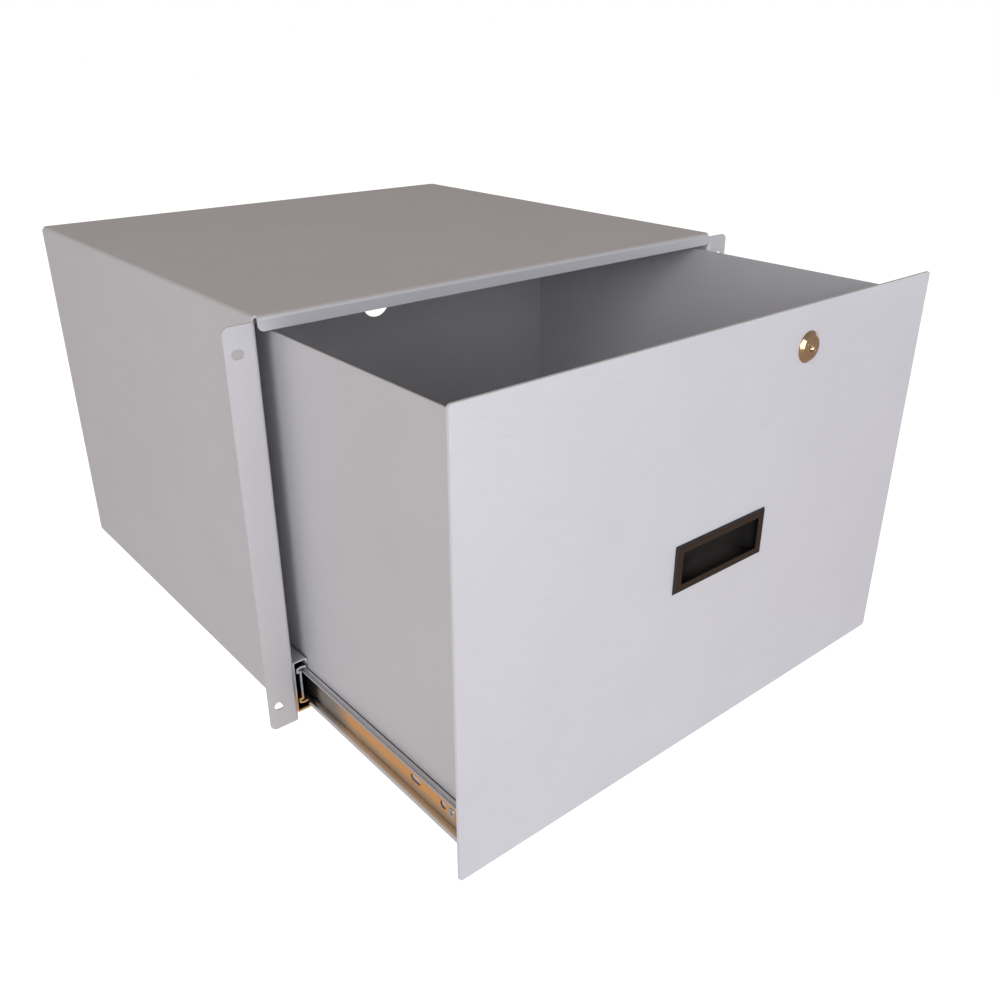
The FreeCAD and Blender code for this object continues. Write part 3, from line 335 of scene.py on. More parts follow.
def zinc_with_painted_light(name, node, bands, stains, ragged, caps):
    """Zinc with light and shade painted into its colour. Bands by height paint a warm reflection on a rail's web,
    orange above and brown below, and highlights on a rail's cut ends; lengthwise layers paint shade further along
    the rail, and caps keep flanges and tops grey and paint the shadowed seam. Bands are (height, softness, colour)
    from the bottom up, from the rail's centre line, and lengthwise layers are (start, full, colour) behind its
    front, in millimetres. Ragged is how far their edge wanders, and caps are (axis, start, full, colour) over them,
    both in metres. Each layer covers the last one by a smooth step."""
    low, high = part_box(node)
    middle = (low.z + high.z) / 2
    material, tree, surface, place = start_material(name, Metallic=0.45)
    spot = add_node(tree, "ShaderNodeSeparateXYZ", {0: place})
    wobble = add_node(tree, "ShaderNodeTexNoise", {"Vector": place, "Scale": 1 / (30 * MM), "Detail": 3.0})
    across, along = 1 / (1.1 * MM), 1 / (40 * MM)
    rolled = add_node(tree, "ShaderNodeMapping", {"Vector": place, "Scale": (across, along, across)})
    lines = add_node(tree, "ShaderNodeTexNoise", {"Vector": rolled.outputs[0], "Scale": 1.0, "Detail": 3.0})
    drift = add_node(tree, "ShaderNodeMath", {0: wobble.outputs[0], 1: 1.0 * MM, 2: spot.outputs["Z"]},
                     operation="MULTIPLY_ADD")
    reach = add_node(tree, "ShaderNodeMath", {0: lines.outputs[0], 1: ragged, 2: spot.outputs["Y"]},
                     operation="MULTIPLY_ADD")
    layers = [(drift.outputs[0], middle + (height - soft / 2) * MM, middle + (height + soft / 2) * MM, tint)
              for height, soft, tint in bands[1:]]
    layers += [(reach.outputs[0], low.y + start * MM, low.y + full * MM, tint) for start, full, tint in stains]
    layers += [(spot.outputs[axis], start, full, tint) for axis, start, full, tint in caps]
    film = rgba(bands[0][2])
    for value, start, full, tint in layers:
        cover = add_node(tree, "ShaderNodeMapRange", {"Value": value, "From Min": start, "From Max": full},
                         interpolation_type="SMOOTHSTEP")
        film = add_node(tree, "ShaderNodeMix", {0: cover.outputs[0], 6: film, 7: rgba(tint)},
                        data_type="RGBA").outputs[2]
    streaks = add_node(tree, "ShaderNodeMix", {
        0: lines.outputs[0], 6: (0.86, 0.86, 0.86, 1.0), 7: (1.14, 1.14, 1.14, 1.0)}, data_type="RGBA")
    whole = add_node(tree, "ShaderNodeMix", {0: 1.0, 6: film, 7: streaks.outputs[2]},
                     data_type="RGBA", blend_type="MULTIPLY")
    tree.links.new(whole.outputs[2], surface.inputs["Base Color"])
    polish = add_node(tree, "ShaderNodeMapRange", {"Value": wobble.outputs[0], "To Min": 0.3, "To Max": 0.46})
    tree.links.new(polish.outputs[0], surface.inputs["Roughness"])
    return material


def moulded_plastic(name, tint, roughness=0.45, shine=0.5, ends=()):
    """Injection-moulded plastic with a fine spark-eroded texture: it scatters light softly and keeps a
    broad weak sheen. The texture is drawn at 0.35 mm, a little coarser than real, so that it shows.
    Ends are (middle, start, full) across: from start to full away from the middle the colour darkens to a fifth of
    the tint, a painted shade on the ends of the dish."""
    material, tree, surface, place = start_material(name, IOR=1.53, Metallic=0.0, Specular_IOR_Level=shine)
    grit = add_node(tree, "ShaderNodeTexNoise", {"Vector": place, "Scale": 1 / (0.35 * MM), "Detail": 3.0})
    clouds = add_node(tree, "ShaderNodeTexNoise", {"Vector": place, "Scale": 1 / (25 * MM), "Detail": 2.0})
    shade = add_node(tree, "ShaderNodeMix", {
        0: clouds.outputs[0], 6: rgba(tint, 0.88), 7: rgba(tint, 1.12)}, data_type="RGBA")
    # Painted shade: the colour darkens towards both ends across.
    if ends:
        spot = add_node(tree, "ShaderNodeSeparateXYZ", {0: place})
        aside = add_node(tree, "ShaderNodeMath", {0: spot.outputs["X"], 1: ends[0]}, operation="SUBTRACT")
        span = add_node(tree, "ShaderNodeMath", {0: aside.outputs[0]}, operation="ABSOLUTE")
        cover = add_node(tree, "ShaderNodeMapRange", {
            "Value": span.outputs[0], "From Min": ends[1], "From Max": ends[2]}, interpolation_type="SMOOTHSTEP")
        shade = add_node(tree, "ShaderNodeMix", {0: cover.outputs[0], 6: shade.outputs[2], 7: rgba(tint, 0.2)},
                         data_type="RGBA")
    tree.links.new(shade.outputs[2], surface.inputs["Base Color"])
    polish = add_node(tree, "ShaderNodeMapRange", {
        "Value": grit.outputs[0], "To Min": roughness - 0.07, "To Max": roughness + 0.09})
    tree.links.new(polish.outputs[0], surface.inputs["Roughness"])
    bump = add_node(tree, "ShaderNodeBump", {"Height": grit.outputs[0], "Strength": 0.3, "Distance": 0.04 * MM})
    tree.links.new(bump.outputs[0], surface.inputs["Normal"])
    return material


def polished_metal(name, tint, roughness):
    """Polished plate or ball steel: a clear mirror with hair-fine wipe marks."""
    material, tree, surface, place = start_material(name, Metallic=1.0, Base_Color=rgba(tint))
    wipe = add_node(tree, "ShaderNodeTexNoise", {"Vector": place, "Scale": 1 / (1.5 * MM), "Detail": 6.0})
    polish = add_node(tree, "ShaderNodeMapRange", {
        "Value": wipe.outputs[0], "To Min": roughness * 0.6, "To Max": roughness * 1.5})
    tree.links.new(polish.outputs[0], surface.inputs["Roughness"])
    return material


def dress(material, *names):
    """Give CAD nodes their finish."""
    for name in names:
        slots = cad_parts[name].data.materials
        slots.clear()
        slots.append(material)


def loft(rings, start=None, end=None):
    """Skin over rings: ring i, point j is row i, column j of a grid; neighbours make one quad, the last
    column joins the first, and a pole closes an end with a fan of triangles."""
    rings = np.asarray(rings, float)
    rows, columns, _ = rings.shape
    row, column = np.meshgrid(np.arange(rows - 1) * columns, np.arange(columns), indexing="ij")
    after = (column + 1) % columns
    faces = np.stack([row + column, row + after, row + columns + after, row + columns + column], -1)
    faces = faces.reshape(-1, 4).tolist()
    points = rings.reshape(-1, 3)
    for pole, first in ((start, 0), (end, (rows - 1) * columns)):
        if pole is not None:
            rim = first + np.arange(columns)
            tip = np.full(columns, len(points))
            points = np.vstack([points, pole])
            faces += np.stack([rim, first + (np.arange(columns) + 1) % columns, tip], -1).tolist()
    return points, faces


def closed(rings):
    """A loft whose last ring joins its first, as for a washer or a tube."""
    return loft(np.concatenate([rings, rings[:1]]))


def joined(shells):
    """Several shells as one list of points and faces, each shell's numbers moved past the last."""
    points, faces, count = [], [], 0
    for shell_points, shell_faces in shells:
        points.append(shell_points)
        faces += [[number + count for number in face] for face in shell_faces]
        count += len(shell_points)
    return np.vstack(points), faces


def make_piece(name, shells, material, body, replaces=(), sharp=35.0):
    """A mesh piece in its place: doubles merged, faces outward, smooth except at edges above an angle."""
    points, faces = joined(shells)
    mesh = bpy.data.meshes.new(name)
    mesh.from_pydata(points.tolist(), [], faces)
    shape = bmesh.new()
    shape.from_mesh(mesh)
    bmesh.ops.remove_doubles(shape, verts=shape.verts, dist=0.0005 * MM)
    bmesh.ops.recalc_face_normals(shape, faces=shape.faces)
    shape.to_mesh(mesh)
    shape.free()
    mesh.polygons.foreach_set("use_smooth", np.ones(len(mesh.polygons), bool))
    mesh.set_sharp_from_angle(angle=math.radians(sharp))
    mesh.materials.append(material)
    piece = bpy.data.objects.new(name, mesh)
    bpy.context.scene.collection.objects.link(piece)
    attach(piece, body)
    if replaces:
        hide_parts(*replaces)
    return piece


def placed(flat, origin, across, up, depth):
    """Points given as (across, up, depth) set at an origin along three directions."""
    return np.asarray(origin, float) + np.asarray(flat, float) @ np.stack([across, up, depth])


def circle(radius, depth, count=64):
    """(r cos t, r sin t, depth) for t once round."""
    turn = np.linspace(0, 2 * math.pi, count, endpoint=False)
    return np.stack([radius * np.cos(turn), radius * np.sin(turn), np.full(count, depth)], -1)


def rounded(half_wide, half_high, radius, depth, steps=8):
    """Rounded rectangle: four quarter circles round the corner centres (+-(w - r), +-(h - r))."""
    turn = (np.arange(4)[:, None] * math.pi / 2 + np.linspace(0, math.pi / 2, steps + 1)).ravel()
    quarter = np.repeat(np.arange(4), steps + 1)
    side_x = np.array([1, -1, -1, 1])[quarter]
    side_y = np.array([1, 1, -1, -1])[quarter]
    across = side_x * (half_wide - radius) + radius * np.cos(turn)
    up = side_y * (half_high - radius) + radius * np.sin(turn)
    return np.stack([across, up, np.full(len(turn), depth)], -1)


def hexagon(flats, count=48):
    """Distance from the centre to a hexagon's side: a / cos(t - 30 degrees) repeated every 60."""
    turn = np.linspace(0, 2 * math.pi, count, endpoint=False)
    return turn, flats / 2 / np.cos(np.mod(turn, math.pi / 3) - math.pi / 6)


def hex_ring(flats, depth, crown=0.0, bevel=30.0):
    """A hexagon's outline; with a crown, its corners fall back along a cone of the bevel angle."""
    turn, radius = hexagon(flats)
    fall = np.maximum(radius - flats / 2 * 0.97, 0) * math.tan(math.radians(bevel))
    return np.stack([radius * np.cos(turn), radius * np.sin(turn), depth + np.sign(crown) * fall], -1)


def threaded(radius, pitch, start, end, count=64):
    """Rows of a screw thread: radius less half the pitch times a triangle wave of (depth / pitch - t / 2 pi)."""
    rows = max(int(abs(end - start) / pitch * 6), 2)
    level = np.linspace(start, end, rows)[:, None]
    turn = np.linspace(0, 2 * math.pi, count, endpoint=False)[None, :]
    wave = np.abs(np.mod(level / pitch - turn / (2 * math.pi), 1.0) * 2 - 1)
    reach = radius - 0.5 * pitch * wave
    return np.stack([reach * np.cos(turn), reach * np.sin(turn), level + 0 * turn], -1)


def turned(profile, count=64):
    """Rings of a turned shape from (radius, depth) pairs."""
    return np.stack([circle(radius, depth, count) for radius, depth in profile])


def arc(centre, radius, start, end, steps):
    """(c + r cos t, c + r sin t) from one angle to another, in degrees."""
    turn = np.radians(np.linspace(start, end, steps))
    return np.stack([centre[0] + radius * np.cos(turn), centre[1] + radius * np.sin(turn)], -1)


class RACK_OT_sheet(bpy.types.Operator):
    """Finish the chassis, drawer box and front panel in satin steel"""

    bl_idname = "rack.sheet"
    bl_label = "Sheet metal"

    def execute(self, context):
        look = context.scene.rack_sheet
        dress(satin_steel("satin_steel_chassis", look.chassis, "Y"), "chassis_shell")
        dress(satin_steel("satin_steel_drawer", look.drawer, "Y"), "drawer_wrap", "drawer_back")
        dress(satin_steel("satin_steel_panel", look.panel, "X"), "front_panel")
        return {"FINISHED"}


class RACK_OT_pull(bpy.types.Operator):
    """Mould the recessed pull: a sloped bezel, an undercut lip, a scooped dish and two snap ribs"""

    bl_idname = "rack.pull"
    bl_label = "Recessed pull"

    def execute(self, context):
        sizes = context.scene.rack_pull
        low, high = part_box("recessed_pull")
        panel_low, panel_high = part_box("front_panel")
        origin = ((low.x + high.x) / 2, panel_low.y, (low.z + high.z) / 2)
        half_wide, half_high = (high.x - low.x) / 2, (high.z - low.z) / 2
        front, back = low.y - panel_low.y, high.y - panel_low.y
        shell = pull_shell(sizes, half_wide, half_high, front, back)
        ribs = snap_ribs(sizes, panel_high.y - panel_low.y + 0.25 * MM)
        shells = [(placed(points, origin, X_AXIS, Z_AXIS, Y_AXIS), faces) for points, faces in (shell, *ribs)]
        # The dish's colour darkens towards its scooped ends: painted shade.
        ends = (origin[0], sizes.opening_wide / 2 - sizes.scoop_wide, sizes.opening_wide / 2)
        dish = moulded_plastic("smooth_black_abs", sizes.plastic, 0.5, 0.15, ends)
        piece = make_piece("pull_moulding", shells, dish, "drawer", ["recessed_pull"], 30.0)
        mesh = piece.data
        mesh.materials.append(moulded_plastic("spark_eroded_brown_abs", sizes.rim, 0.7, 0.2))
        # Painted shade and a painted cool reflection: a darker, bluish copy of the plastic for the bezel's slopes.
        mesh.materials.append(moulded_plastic("smooth_black_abs_slope", sizes.slope_shade, 0.45, 0.4))
        facing = np.empty(len(mesh.polygons) * 3)
        centres = np.empty_like(facing)
        mesh.polygons.foreach_get("normal", facing)
        mesh.polygons.foreach_get("center", centres)
        # Matt: the flat front of the bezel. Sloped: what else stands before the panel, outside the opening; it
        # takes a darker, bluish copy of the plastic, painted shade and a painted cool reflection.
        matt = (facing[1::3] < -0.98) & (centres[1::3] < low.y + 0.05 * MM)
        past = np.maximum(np.abs(centres[0::3] - origin[0]) - sizes.opening_wide / 2,
                          np.abs(centres[2::3] - origin[2]) - sizes.opening_high / 2)
        sloped = ~matt & (past > 1.0 * MM) & (centres[1::3] < panel_low.y)
        mesh.polygons.foreach_set("material_index", matt + 2 * sloped)
        return {"FINISHED"}


def pull_shell(sizes, half_wide, half_high, front, back):
    """Rounded rectangles from the cup's rear, over the bezel and into the dish. The dish shrinks by
    run * (1 - cos s) while it deepens by sin s, with one run for its ends and one for its top and bottom."""
    wide, tall = sizes.opening_wide / 2, sizes.opening_high / 2
    wall, corner, edge = sizes.wall, sizes.corner, sizes.edge
    floor = back - wall
    rings = [rounded(wide - corner - wall, tall + wall, edge, back)]
    rings += [rounded(half, tall + wall, edge, depth)
              for half, depth in arc((wide - corner, floor - corner), corner + wall, 90, 0, 9)]
    rings += [rounded(wide + wall, tall + wall, edge, 0), rounded(half_wide, half_high, edge, 0),
              rounded(half_wide, half_high, edge, front + sizes.slope)]
    inset = sizes.slope
    rings += [rounded(half_wide - inset, half_high - inset, edge, front),
              rounded(wide + edge, tall + edge, edge, front)]
    rings += [rounded(wide - grow, tall - grow, edge, depth)
              for grow, depth in arc((-edge, front + edge), edge, 270, 360, 5)]
    rim = front + sizes.lip
    deep = rim + sizes.undercut_long
    groove = sizes.undercut
    rings += [rounded(wide, tall, edge, rim), rounded(wide + groove, tall + groove, edge, rim + 0.1 * MM),
              rounded(wide + groove, tall + groove, edge, deep)]
    turn = np.radians(np.linspace(6, 90, 15))
    for fall, sink in zip(1 - np.cos(turn), np.sin(turn)):
        rings.append(rounded(wide + groove - sizes.scoop_wide * fall, tall + groove - sizes.scoop_high * fall,
                             edge + 3 * MM * fall, deep + (floor - deep) * sink))
    return loft(rings, [0, 0, back], [0, 0, floor])


def snap_ribs(sizes, start):
    """A wedge above and below the cup: its height falls in a straight line along the pull."""
    ribs = []
    for way in (1, -1):
        foot = way * (sizes.opening_high / 2 + sizes.wall)
        half = sizes.rib_wide / 2
        corners = np.array([[-half, -0.3 * MM], [half, -0.3 * MM], [half, 1.0], [-half, 1.0]])
        rings = []
        for depth, height in ((start, sizes.rib_high), (start + sizes.rib_long, 0.05 * MM)):
            up = np.where(corners[:, 1] == 1.0, height, corners[:, 1])
            rings.append(np.stack([corners[:, 0], foot + way * up, np.full(4, depth)], -1))
        ribs.append(loft(rings, [0, foot, start], [0, foot, start + sizes.rib_long]))
    return ribs


class RACK_OT_lock(bpy.types.Operator):
    """Turn the lock head, plug, nut and bolt"""

    bl_idname = "rack.lock"
    bl_label = "Cam lock"

    def execute(self, context):
        sizes = context.scene.rack_lock
        low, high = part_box("lock_body")
        panel_low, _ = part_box("front_panel")
        origin = ((low.x + high.x) / 2, panel_low.y, (low.z + high.z) / 2)
        head, end = (high.x - low.x) / 2, high.y - panel_low.y
        bore, barrel = sizes.plug / 2 + 0.05 * MM, sizes.barrel / 2
        bronze = polished_metal("polished_bronze_plate", sizes.bronze, 0.1)

        def seat(rings):
            """Rings about the lock's axis, set in the panel."""
            return placed(rings, origin, X_AXIS, Z_AXIS, Y_AXIS)

        front = turned(head_profile(sizes, head, bore, barrel, end))
        thread = threaded(barrel, sizes.pitch, 0.5 * MM, end - 0.6 * MM)
        rear = turned([(barrel - 0.6 * MM, end)])
        housing = closed(seat(np.concatenate([front, thread, rear])))
        make_piece("lock_housing", [housing], bronze, "drawer", ["lock_body"])
        _, plug_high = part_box("lock_plug")
        rings, floor, tail = plug_rings(sizes, end, plug_high.y - panel_low.y)
        make_piece("lock_keyway", [loft(seat(rings), seat(floor), seat(tail))], bronze,
                   "lock_barrel", ["lock_plug"])
        zinc = plated_zinc("zinc_plate_hardware", context.scene.rack_slide.plating)
        nut_low, nut_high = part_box("lock_nut")
        near, far = nut_low.y - panel_low.y, nut_high.y - panel_low.y
        flats = nut_high.x - nut_low.x
        nut = closed(seat(nut_rings(flats, barrel + 0.05 * MM, near, far)))
        make_piece("lock_hex_nut", [nut], zinc, "drawer", ["lock_nut"])
        dress(zinc, "lock_cam", "lock_cam_bolt")
        return {"FINISHED"}


def head_profile(sizes, head, bore, barrel, end):
    """(radius, depth) round the lock head: bore, flat ring, an arc into a straight slope, rim and barrel."""
    face, proud, rim, bend = sizes.face / 2, sizes.proud, sizes.rim, sizes.turn_edge
    slope = math.degrees(math.atan2(proud - rim, head - face))
    reach = bend * math.tan(math.radians(slope / 2))
    turned_edge = arc((face - reach, bend - proud), bend, -90, slope - 90, 6)
    soft = 0.2 * MM
    inner, outer = turned_edge[-1], np.array([head - soft, -rim - 0.8 * soft])
    # A ring close to each end of the slope, so that smooth shading leaves the slope itself straight.
    cone = [inner + (outer - inner) * share for share in (0.04, 0.96)]
    return [(bore, end), (bore, 0.1 * MM - proud), (bore + 0.1 * MM, -proud), *turned_edge,
            *cone, outer, (head, -rim + soft), (head, 0), (barrel, 0), (barrel, 0.4 * MM)]


def plug_rings(sizes, end, tail):
    """Rings from the key slot's floor up its walls, over the countersink and face, and back to the square."""
    radius, sink = sizes.plug / 2, sizes.sink_wide / 2
    wide, high = sizes.key_wide / 2, sizes.key_high / 2
    inside, face = sizes.key_deep - sizes.proud, -sizes.proud
    steps = 15
    slot = [rounded(wide, high, wide * 0.98, depth, steps) for depth in (inside, face + sizes.sink_deep)]
    mouth = turned([(sink, face + 0.05 * MM), (sink + 0.1 * MM, face), (radius - 0.1 * MM, face),
                    (radius, face + 0.1 * MM), (radius, end)])
    square = [rounded(3.5 * MM, 3.5 * MM, 0.4 * MM, depth, steps) for depth in (end, tail)]
    return np.concatenate([slot, mouth, square]), [0, 0, inside], [0, 0, tail]


class RACK_OT_slides(bpy.types.Operator):
    """Plate the rails and cages, and set polished balls in them"""

    bl_idname = "rack.slides"
    bl_label = "Slides"

    def execute(self, context):
        sizes = context.scene.rack_slide
        nylon = moulded_plastic("natural_nylon", sizes.nylon, 0.5)
        cage = plated_zinc("pressed_steel_cage", sizes.plating, 0.4)
        steel = polished_metal("polished_ball_steel", sizes.ball, 0.06)
        # The drawer rail's web has brown and warm bands by height, a painted reflection, then painted shade deeper
        # in and near-black painted shade from the outer rail's mouth, with caps for its grey upper flange and the
        # painted shadow of the seam beside the drawer. The outer rails have painted highlights on their cut ends,
        # near-black painted shade just inside their mouth, grey steel further in and a grey top.
        # Painted reflection: brown below, warm orange above, banded by height.
        web = [(-12.0, 1.0, sizes.brown_reflection), (-3.5, 6.0, sizes.warm_reflection)]
        # Painted shade: grey-brown deeper along the web, near-black from the outer rail's mouth.
        painted_rail_shade = [(sizes.inner_web_shade_start / MM, sizes.inner_web_shade_end / MM, sizes.inner_web_shade),
                  (sizes.deep_rail_shade_start / MM, sizes.deep_rail_shade_end / MM, sizes.deep_rail_shade)]
        # Painted highlights on the rails' cut ends, warm below and cool above.
        cut_end_highlights = [(-22.0, 1.0, sizes.cut_end_highlight_warm), (-6.0, 10.0, sizes.cut_end_highlight_cool)]
        # Near-black painted shade just inside the mouth of the outer and middle rails, plain grey further in.
        mouth = [(0.6, 1.4, sizes.deep_rail_shade), (50.0, 110.0, sizes.flange)]
        for side, way in SIDES.items():
            low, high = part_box(f"{side}_drawer_rail")
            wall, middle = (low.x if way > 0 else high.x), (low.z + high.z) / 2
            flange = ("Z", middle + 8.2 * MM, middle + 9.0 * MM, sizes.flange)
            seam = ("X", wall + way * 1.3 * MM, wall + way * 0.6 * MM, sizes.seam)
            dress(zinc_with_painted_light(f"passivated_zinc_web_{side}", f"{side}_drawer_rail", web, painted_rail_shade, sizes.ragged,
                                  [flange, seam]), f"{side}_drawer_rail")
            _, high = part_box(f"{side}_outer_rail")
            top = ("Z", high.z - 0.6 * MM, high.z - 0.3 * MM, sizes.flange)
            dress(zinc_with_painted_light(f"passivated_zinc_hook_{side}", f"{side}_outer_rail", cut_end_highlights, mouth, 0.0, [top]),
                  f"{side}_outer_rail", f"{side}_middle_rail")
            dress(nylon, f"{side}_end_stop")
            dress(cage, f"{side}_outer_cage", f"{side}_inner_cage")
            for stage in ("outer", "inner"):
                node = f"{side}_{stage}_balls"
                make_piece(f"{node}_polished", ball_rows(node, sizes.balls), steel,
                           f"{side}_{stage}_bearing", [node])
        return {"FINISHED"}


def ball_rows(node, count):
    """Spheres in two rows: (r sin p cos t, r sin p sin t, r cos p) on a grid of p and t."""
    low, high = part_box(node)
    radius = (high.x - low.x) / 2
    across = (high.x + low.x) / 2
    polar = np.linspace(0, math.pi, 13)[1:-1]
    rings = np.stack([circle(radius * math.sin(lean), radius * math.cos(lean), 24) for lean in polar])
    shells = []
    for up in (low.z + radius, high.z - radius):
        for along in np.linspace(low.y + radius, high.y - radius, count):
            centre = np.array([across, along, up])
            shells.append(loft(rings + centre, centre + Z_AXIS * radius, centre - Z_AXIS * radius))
    return shells


class RACK_OT_fasteners(bpy.types.Operator):
    """Fit the rail screws, panel studs and their nuts"""

    bl_idname = "rack.fasteners"
    bl_label = "Fasteners"

    def execute(self, context):
        sizes = context.scene.rack_slide
        zinc = plated_zinc("zinc_plate_screws", sizes.plating, 0.3)
        mounts = sizes.mount_first + np.arange(sizes.mounts) * sizes.mount_pitch
        for side, way in SIDES.items():
            out = way * X_AXIS
            low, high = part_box(f"{side}_drawer_rail")
            face, up = (low.x if way > 0 else high.x), (low.z + high.z) / 2
            places = (sizes.screw_first, sizes.screw_middle, sizes.screw_last)
            spots = [(face, low.y + behind, up) for behind in places]
            heads = [socket_screw(spot, out, sizes.head, sizes.head_high, RAIL_SHEET, M4_REACH) for spot in spots]
            nuts = [plain_nut(spot, -out, DRAWER_SHEET) for spot in spots]
            make_piece(f"{side}_rail_screws", heads, zinc, "drawer")
            make_piece(f"{side}_rail_nuts", nuts, zinc, "drawer")
            low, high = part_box(f"{side}_outer_rail")
            web, up = (high.x if way > 0 else low.x), (low.z + high.z) / 2
            spots = [(web, low.y + behind, up) for behind in mounts]
            heads = [socket_screw(spot, -out, sizes.head, sizes.head_high, OUTER_SHEET, M4_SHORT) for spot in spots]
            make_piece(f"{side}_outer_rail_screws", heads, zinc, "chassis")
        low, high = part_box("drawer_wrap")
        spots = [(across, low.y, up) for across, up in panel_fixings(low, high)]
        studs = [stud(spot, Y_AXIS, M4_REACH) for spot in spots]
        nuts = [plain_nut(spot, Y_AXIS, DRAWER_SHEET) for spot in spots]
        make_piece("panel_fixing_studs", studs, zinc, "drawer")
        make_piece("panel_fixing_nuts", nuts, zinc, "drawer")
        return {"FINISHED"}


def panel_fixings(low, high):
    """Places of the panel studs: three up each side flange and two along the bottom flange."""
    half = high.x - FLANGE / 2
    rows = np.linspace(low.z + 2 * FLANGE, high.z - FLANGE, 3)
    sides = [(way * half, up) for way in SIDES.values() for up in rows]
    return sides + [(way * half / 2, low.z + FLANGE / 2) for way in SIDES.values()]


def frame_for(depth):
    """Two directions square to a depth direction."""
    up = Z_AXIS if abs(depth[2]) < 0.5 else Y_AXIS
    return np.cross(up, depth), up


def socket_screw(spot, out, head, high, seat, behind):
    """Low-head screw: rings from the hex socket's floor over the rounded head to the shank's end."""
    across, up = frame_for(out)
    radius, shank, socket, bend = head / 2, M4_RADIUS, M4_SOCKET, 0.7 * high
    top, floor = seat + high, seat - 0.4 * MM
    rings = [hex_ring(socket, floor), hex_ring(socket, top - 0.1 * MM), hex_ring(socket * 1.1, top)]
    rings += [circle(reach, level, 48) for reach, level in arc((radius - bend, top - bend), bend, 90, 0, 5)]
    rings += [circle(radius, seat, 48), circle(shank, seat, 48)]
    thread = threaded(shank, M4_PITCH, seat - 0.1 * MM, -behind + 0.3 * MM, count=48)
    rings = np.concatenate([rings, thread, [circle(shank - M4_BEVEL, -behind, 48)]])
    tips = placed([[0, 0, floor], [0, 0, -behind]], spot, across, up, out)
    return loft(placed(rings, spot, across, up, out), tips[0], tips[1])


def stud(spot, out, reach):
    """Threaded stud with a bevelled tip."""
    across, up = frame_for(out)
    thread = threaded(M4_RADIUS, M4_PITCH, 0.0, reach - M4_BEVEL, count=48)
    rings = np.concatenate([thread, [circle(M4_RADIUS - M4_BEVEL, reach, 48)]])
    tips = placed([[0, 0, 0], [0, 0, reach]], spot, across, up, out)
    return loft(placed(rings, spot, across, up, out), tips[0], tips[1])


def nut_rings(flats, bore, near, far):
    """Rings of a hexagon nut: bore, bevelled faces and corners that fall back along a cone."""
    return np.stack([circle(bore, near, 48), circle(bore + 0.3 * MM, near, 48), circle(flats * 0.485, near, 48),
                     hex_ring(flats, near, 1.0), hex_ring(flats, far, -1.0), circle(flats * 0.485, far, 48),
                     circle(bore + 0.3 * MM, far, 48), circle(bore, far - 0.3 * MM, 48)])


def plain_nut(spot, out, seat):
    """M4 hexagon nut with bevelled corners and a bore."""
    across, up = frame_for(out)
    rings = nut_rings(M4_FLATS, M4_RADIUS + 0.05 * MM, seat, seat + M4_NUT)
    return closed(placed(rings, spot, across, up, out))


class RACK_OT_stage(bpy.types.Operator):
    """Set the pale floor, soft surroundings, three soft lights and the camera"""

    bl_idname = "rack.stage"
    bl_label = "Stage"

    def execute(self, context):
        sizes = context.scene.rack_studio
        scene = context.scene
        level = CAD_BOX[0].z - sizes.floor_gap
        lines = sizes.floor_cells + 1
        span = np.linspace(-sizes.floor_half, sizes.floor_half, lines)
        across, along = np.meshgrid(span, span, indexing="ij")
        points = np.stack([across, along, np.full_like(across, level)], -1).reshape(-1, 3)
        cells = np.arange(sizes.floor_cells)
        corner = (cells[:, None] * lines + cells).ravel()
        faces = np.stack([corner, corner + lines, corner + lines + 1, corner + 1], -1)
        mesh = bpy.data.meshes.new("floor")
        mesh.from_pydata(points.tolist(), [], faces.tolist())
        mesh.materials.append(pale_floor("matt_white_floor", sizes))
        floor = bpy.data.objects.new("floor", mesh)
        scene.collection.objects.link(floor)
        surround(scene, sizes)
        for name in ("key", "low", "side"):
            softbox(scene, sizes, name)
        camera = bpy.data.cameras.new("studio_camera")
        camera.lens = sizes.lens
        camera.sensor_width = 36.0
        stand = bpy.data.objects.new("studio_camera", camera)
        stand.location = sizes.stand
        stand.rotation_euler = Euler((math.pi / 2 - sizes.tilt, 0, -sizes.turn))
        scene.collection.objects.link(stand)
        scene.camera = stand
        scene.view_settings.view_transform = "Standard"
        return {"FINISHED"}


def pale_floor(name, sizes):
    """Matt white paper on a light table: it glows evenly, so the part casts almost no shadow on it, and
    sends a weaker, warmer light up to the part."""
    material, tree, surface, place = start_material(name, Base_Color=rgba(sizes.floor, 0.3), Roughness=0.9)
    fibre = add_node(tree, "ShaderNodeTexNoise", {"Vector": place, "Scale": 1 / (2 * MM), "Detail": 2.0})
    bump = add_node(tree, "ShaderNodeBump", {"Height": fibre.outputs[0], "Strength": 0.1, "Distance": 0.05 * MM})
    tree.links.new(bump.outputs[0], surface.inputs["Normal"])
    seen = add_node(tree, "ShaderNodeLightPath").outputs["Is Camera Ray"]
    glow = add_node(tree, "ShaderNodeMix", {0: seen, 6: rgba(sizes.bounce), 7: rgba(sizes.floor)}, data_type="RGBA")
    tree.links.new(glow.outputs[2], surface.inputs["Emission Color"])
    surface.inputs["Emission Strength"].default_value = 1.0
    return material


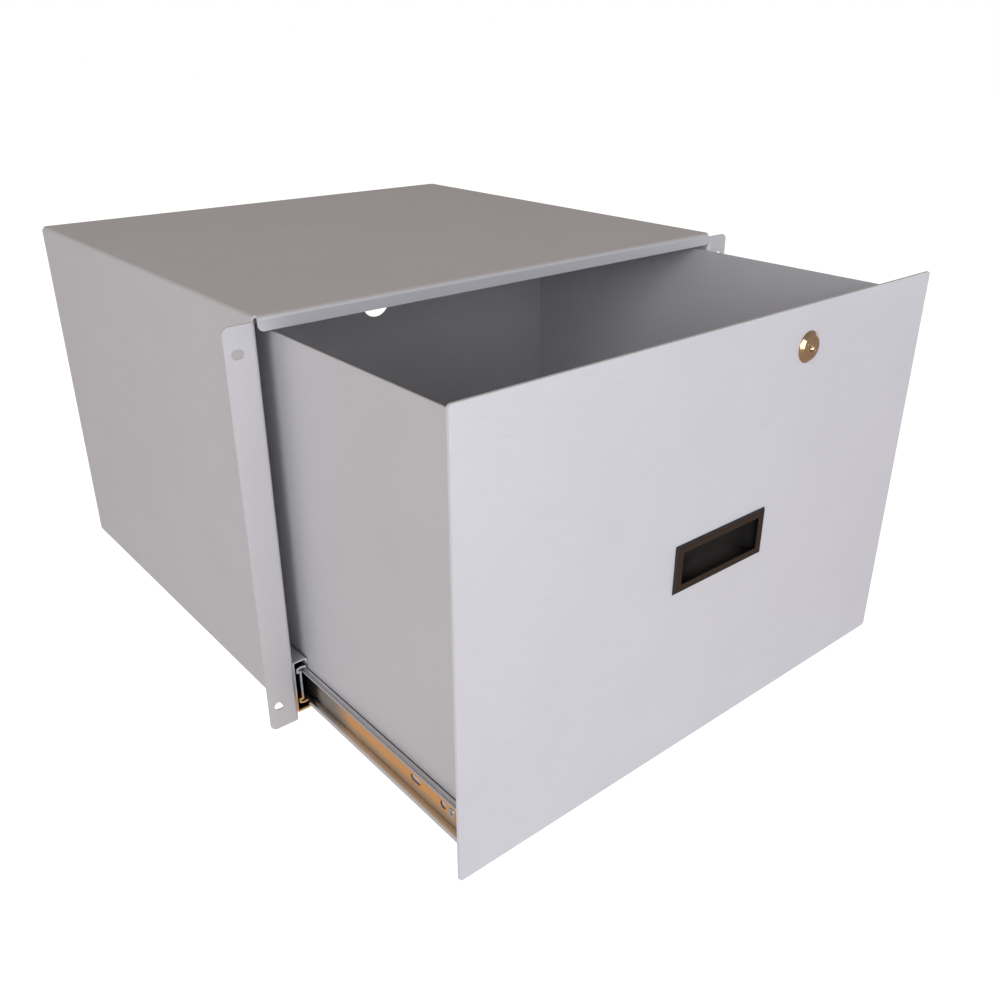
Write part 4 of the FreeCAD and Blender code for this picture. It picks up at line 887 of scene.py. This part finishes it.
def surround(scene, sizes):
    """Soft surroundings: bluish and brighter in front, grey at the sides, brownish overhead. Each turns into
    the next by a smooth step of the heading's depth or height; the camera sees plain white."""
    world = bpy.data.worlds.new("soft_surroundings")
    scene.world = world
    world.use_nodes = True
    tree = world.node_tree
    tree.nodes.clear()
    sky = add_node(tree, "ShaderNodeTexCoord").outputs["Generated"]
    heading = add_node(tree, "ShaderNodeSeparateXYZ", {0: sky})
    ahead = add_node(tree, "ShaderNodeMapRange", {
        "Value": heading.outputs["Y"], "From Min": sizes.ahead_start, "From Max": sizes.ahead_end},
        interpolation_type="SMOOTHSTEP")
    rise = add_node(tree, "ShaderNodeMapRange", {
        "Value": heading.outputs["Z"], "From Min": sizes.rise_start, "From Max": sizes.rise_end},
        interpolation_type="SMOOTHSTEP")
    wall = add_node(tree, "ShaderNodeMix", {
        0: ahead.outputs[0], 6: rgba(sizes.side), 7: rgba(sizes.front)}, data_type="RGBA")
    tone = add_node(tree, "ShaderNodeMix", {
        0: rise.outputs[0], 6: wall.outputs[2], 7: rgba(sizes.ceiling)}, data_type="RGBA")
    soft = add_node(tree, "ShaderNodeBackground", {"Color": tone.outputs[2], "Strength": sizes.surround})
    plain = add_node(tree, "ShaderNodeBackground", {"Color": (1.0, 1.0, 1.0, 1.0), "Strength": 1.0})
    seen = add_node(tree, "ShaderNodeLightPath").outputs["Is Camera Ray"]
    mixed = add_node(tree, "ShaderNodeMixShader", {0: seen, 1: soft.outputs[0], 2: plain.outputs[0]})
    add_node(tree, "ShaderNodeOutputWorld", {"Surface": mixed.outputs[0]})


def softbox(scene, sizes, name):
    """A rectangular soft light that faces the centre of the rack ears; its settings start with its name."""
    middle = getattr(sizes, f"{name}_place")
    light = bpy.data.lights.new(f"{name}_softbox", "AREA")
    light.shape = "RECTANGLE"
    light.size = getattr(sizes, f"{name}_wide")
    light.size_y = getattr(sizes, f"{name}_high")
    light.energy = getattr(sizes, f"{name}_power")
    lamp = bpy.data.objects.new(f"{name}_softbox", light)
    lamp.location = middle
    lamp.rotation_euler = (-Vector(middle)).to_track_quat("-Z", "Y").to_euler()
    scene.collection.objects.link(lamp)


class RACK_PT_panel(bpy.types.Panel):
    """Sizes, colours and steps of the rack drawer"""

    bl_idname = "RACK_PT_panel"
    bl_label = "Rack drawer"
    bl_space_type = "VIEW_3D"
    bl_region_type = "UI"
    bl_category = "Rack drawer"

    def draw(self, context):
        for step in STEPS:
            self.layout.operator(step.bl_idname)
        for name, group in GROUPS.items():
            box = self.layout.box()
            box.label(text=group.__doc__)
            for key in group.__annotations__:
                box.prop(getattr(context.scene, name), key)


STEPS = (RACK_OT_sheet, RACK_OT_pull, RACK_OT_lock, RACK_OT_slides, RACK_OT_fasteners, RACK_OT_stage)


def register():
    """Register the property groups, operators and panel."""
    for kind in (*GROUPS.values(), *STEPS, RACK_PT_panel):
        bpy.utils.register_class(kind)
    for name, group in GROUPS.items():
        setattr(bpy.types.Scene, name, PointerProperty(type=group))


def unregister():
    """Remove what register() added."""
    for name in GROUPS:
        delattr(bpy.types.Scene, name)
    for kind in reversed((*GROUPS.values(), *STEPS, RACK_PT_panel)):
        bpy.utils.unregister_class(kind)


def main():
    """Run every step."""
    register()
    for step in STEPS:
        group, name = step.bl_idname.split(".")
        if getattr(getattr(bpy.ops, group), name)() != {"FINISHED"}:
            raise RuntimeError(f"{step.bl_label} did not finish")


if __name__ == "__main__":
    main()
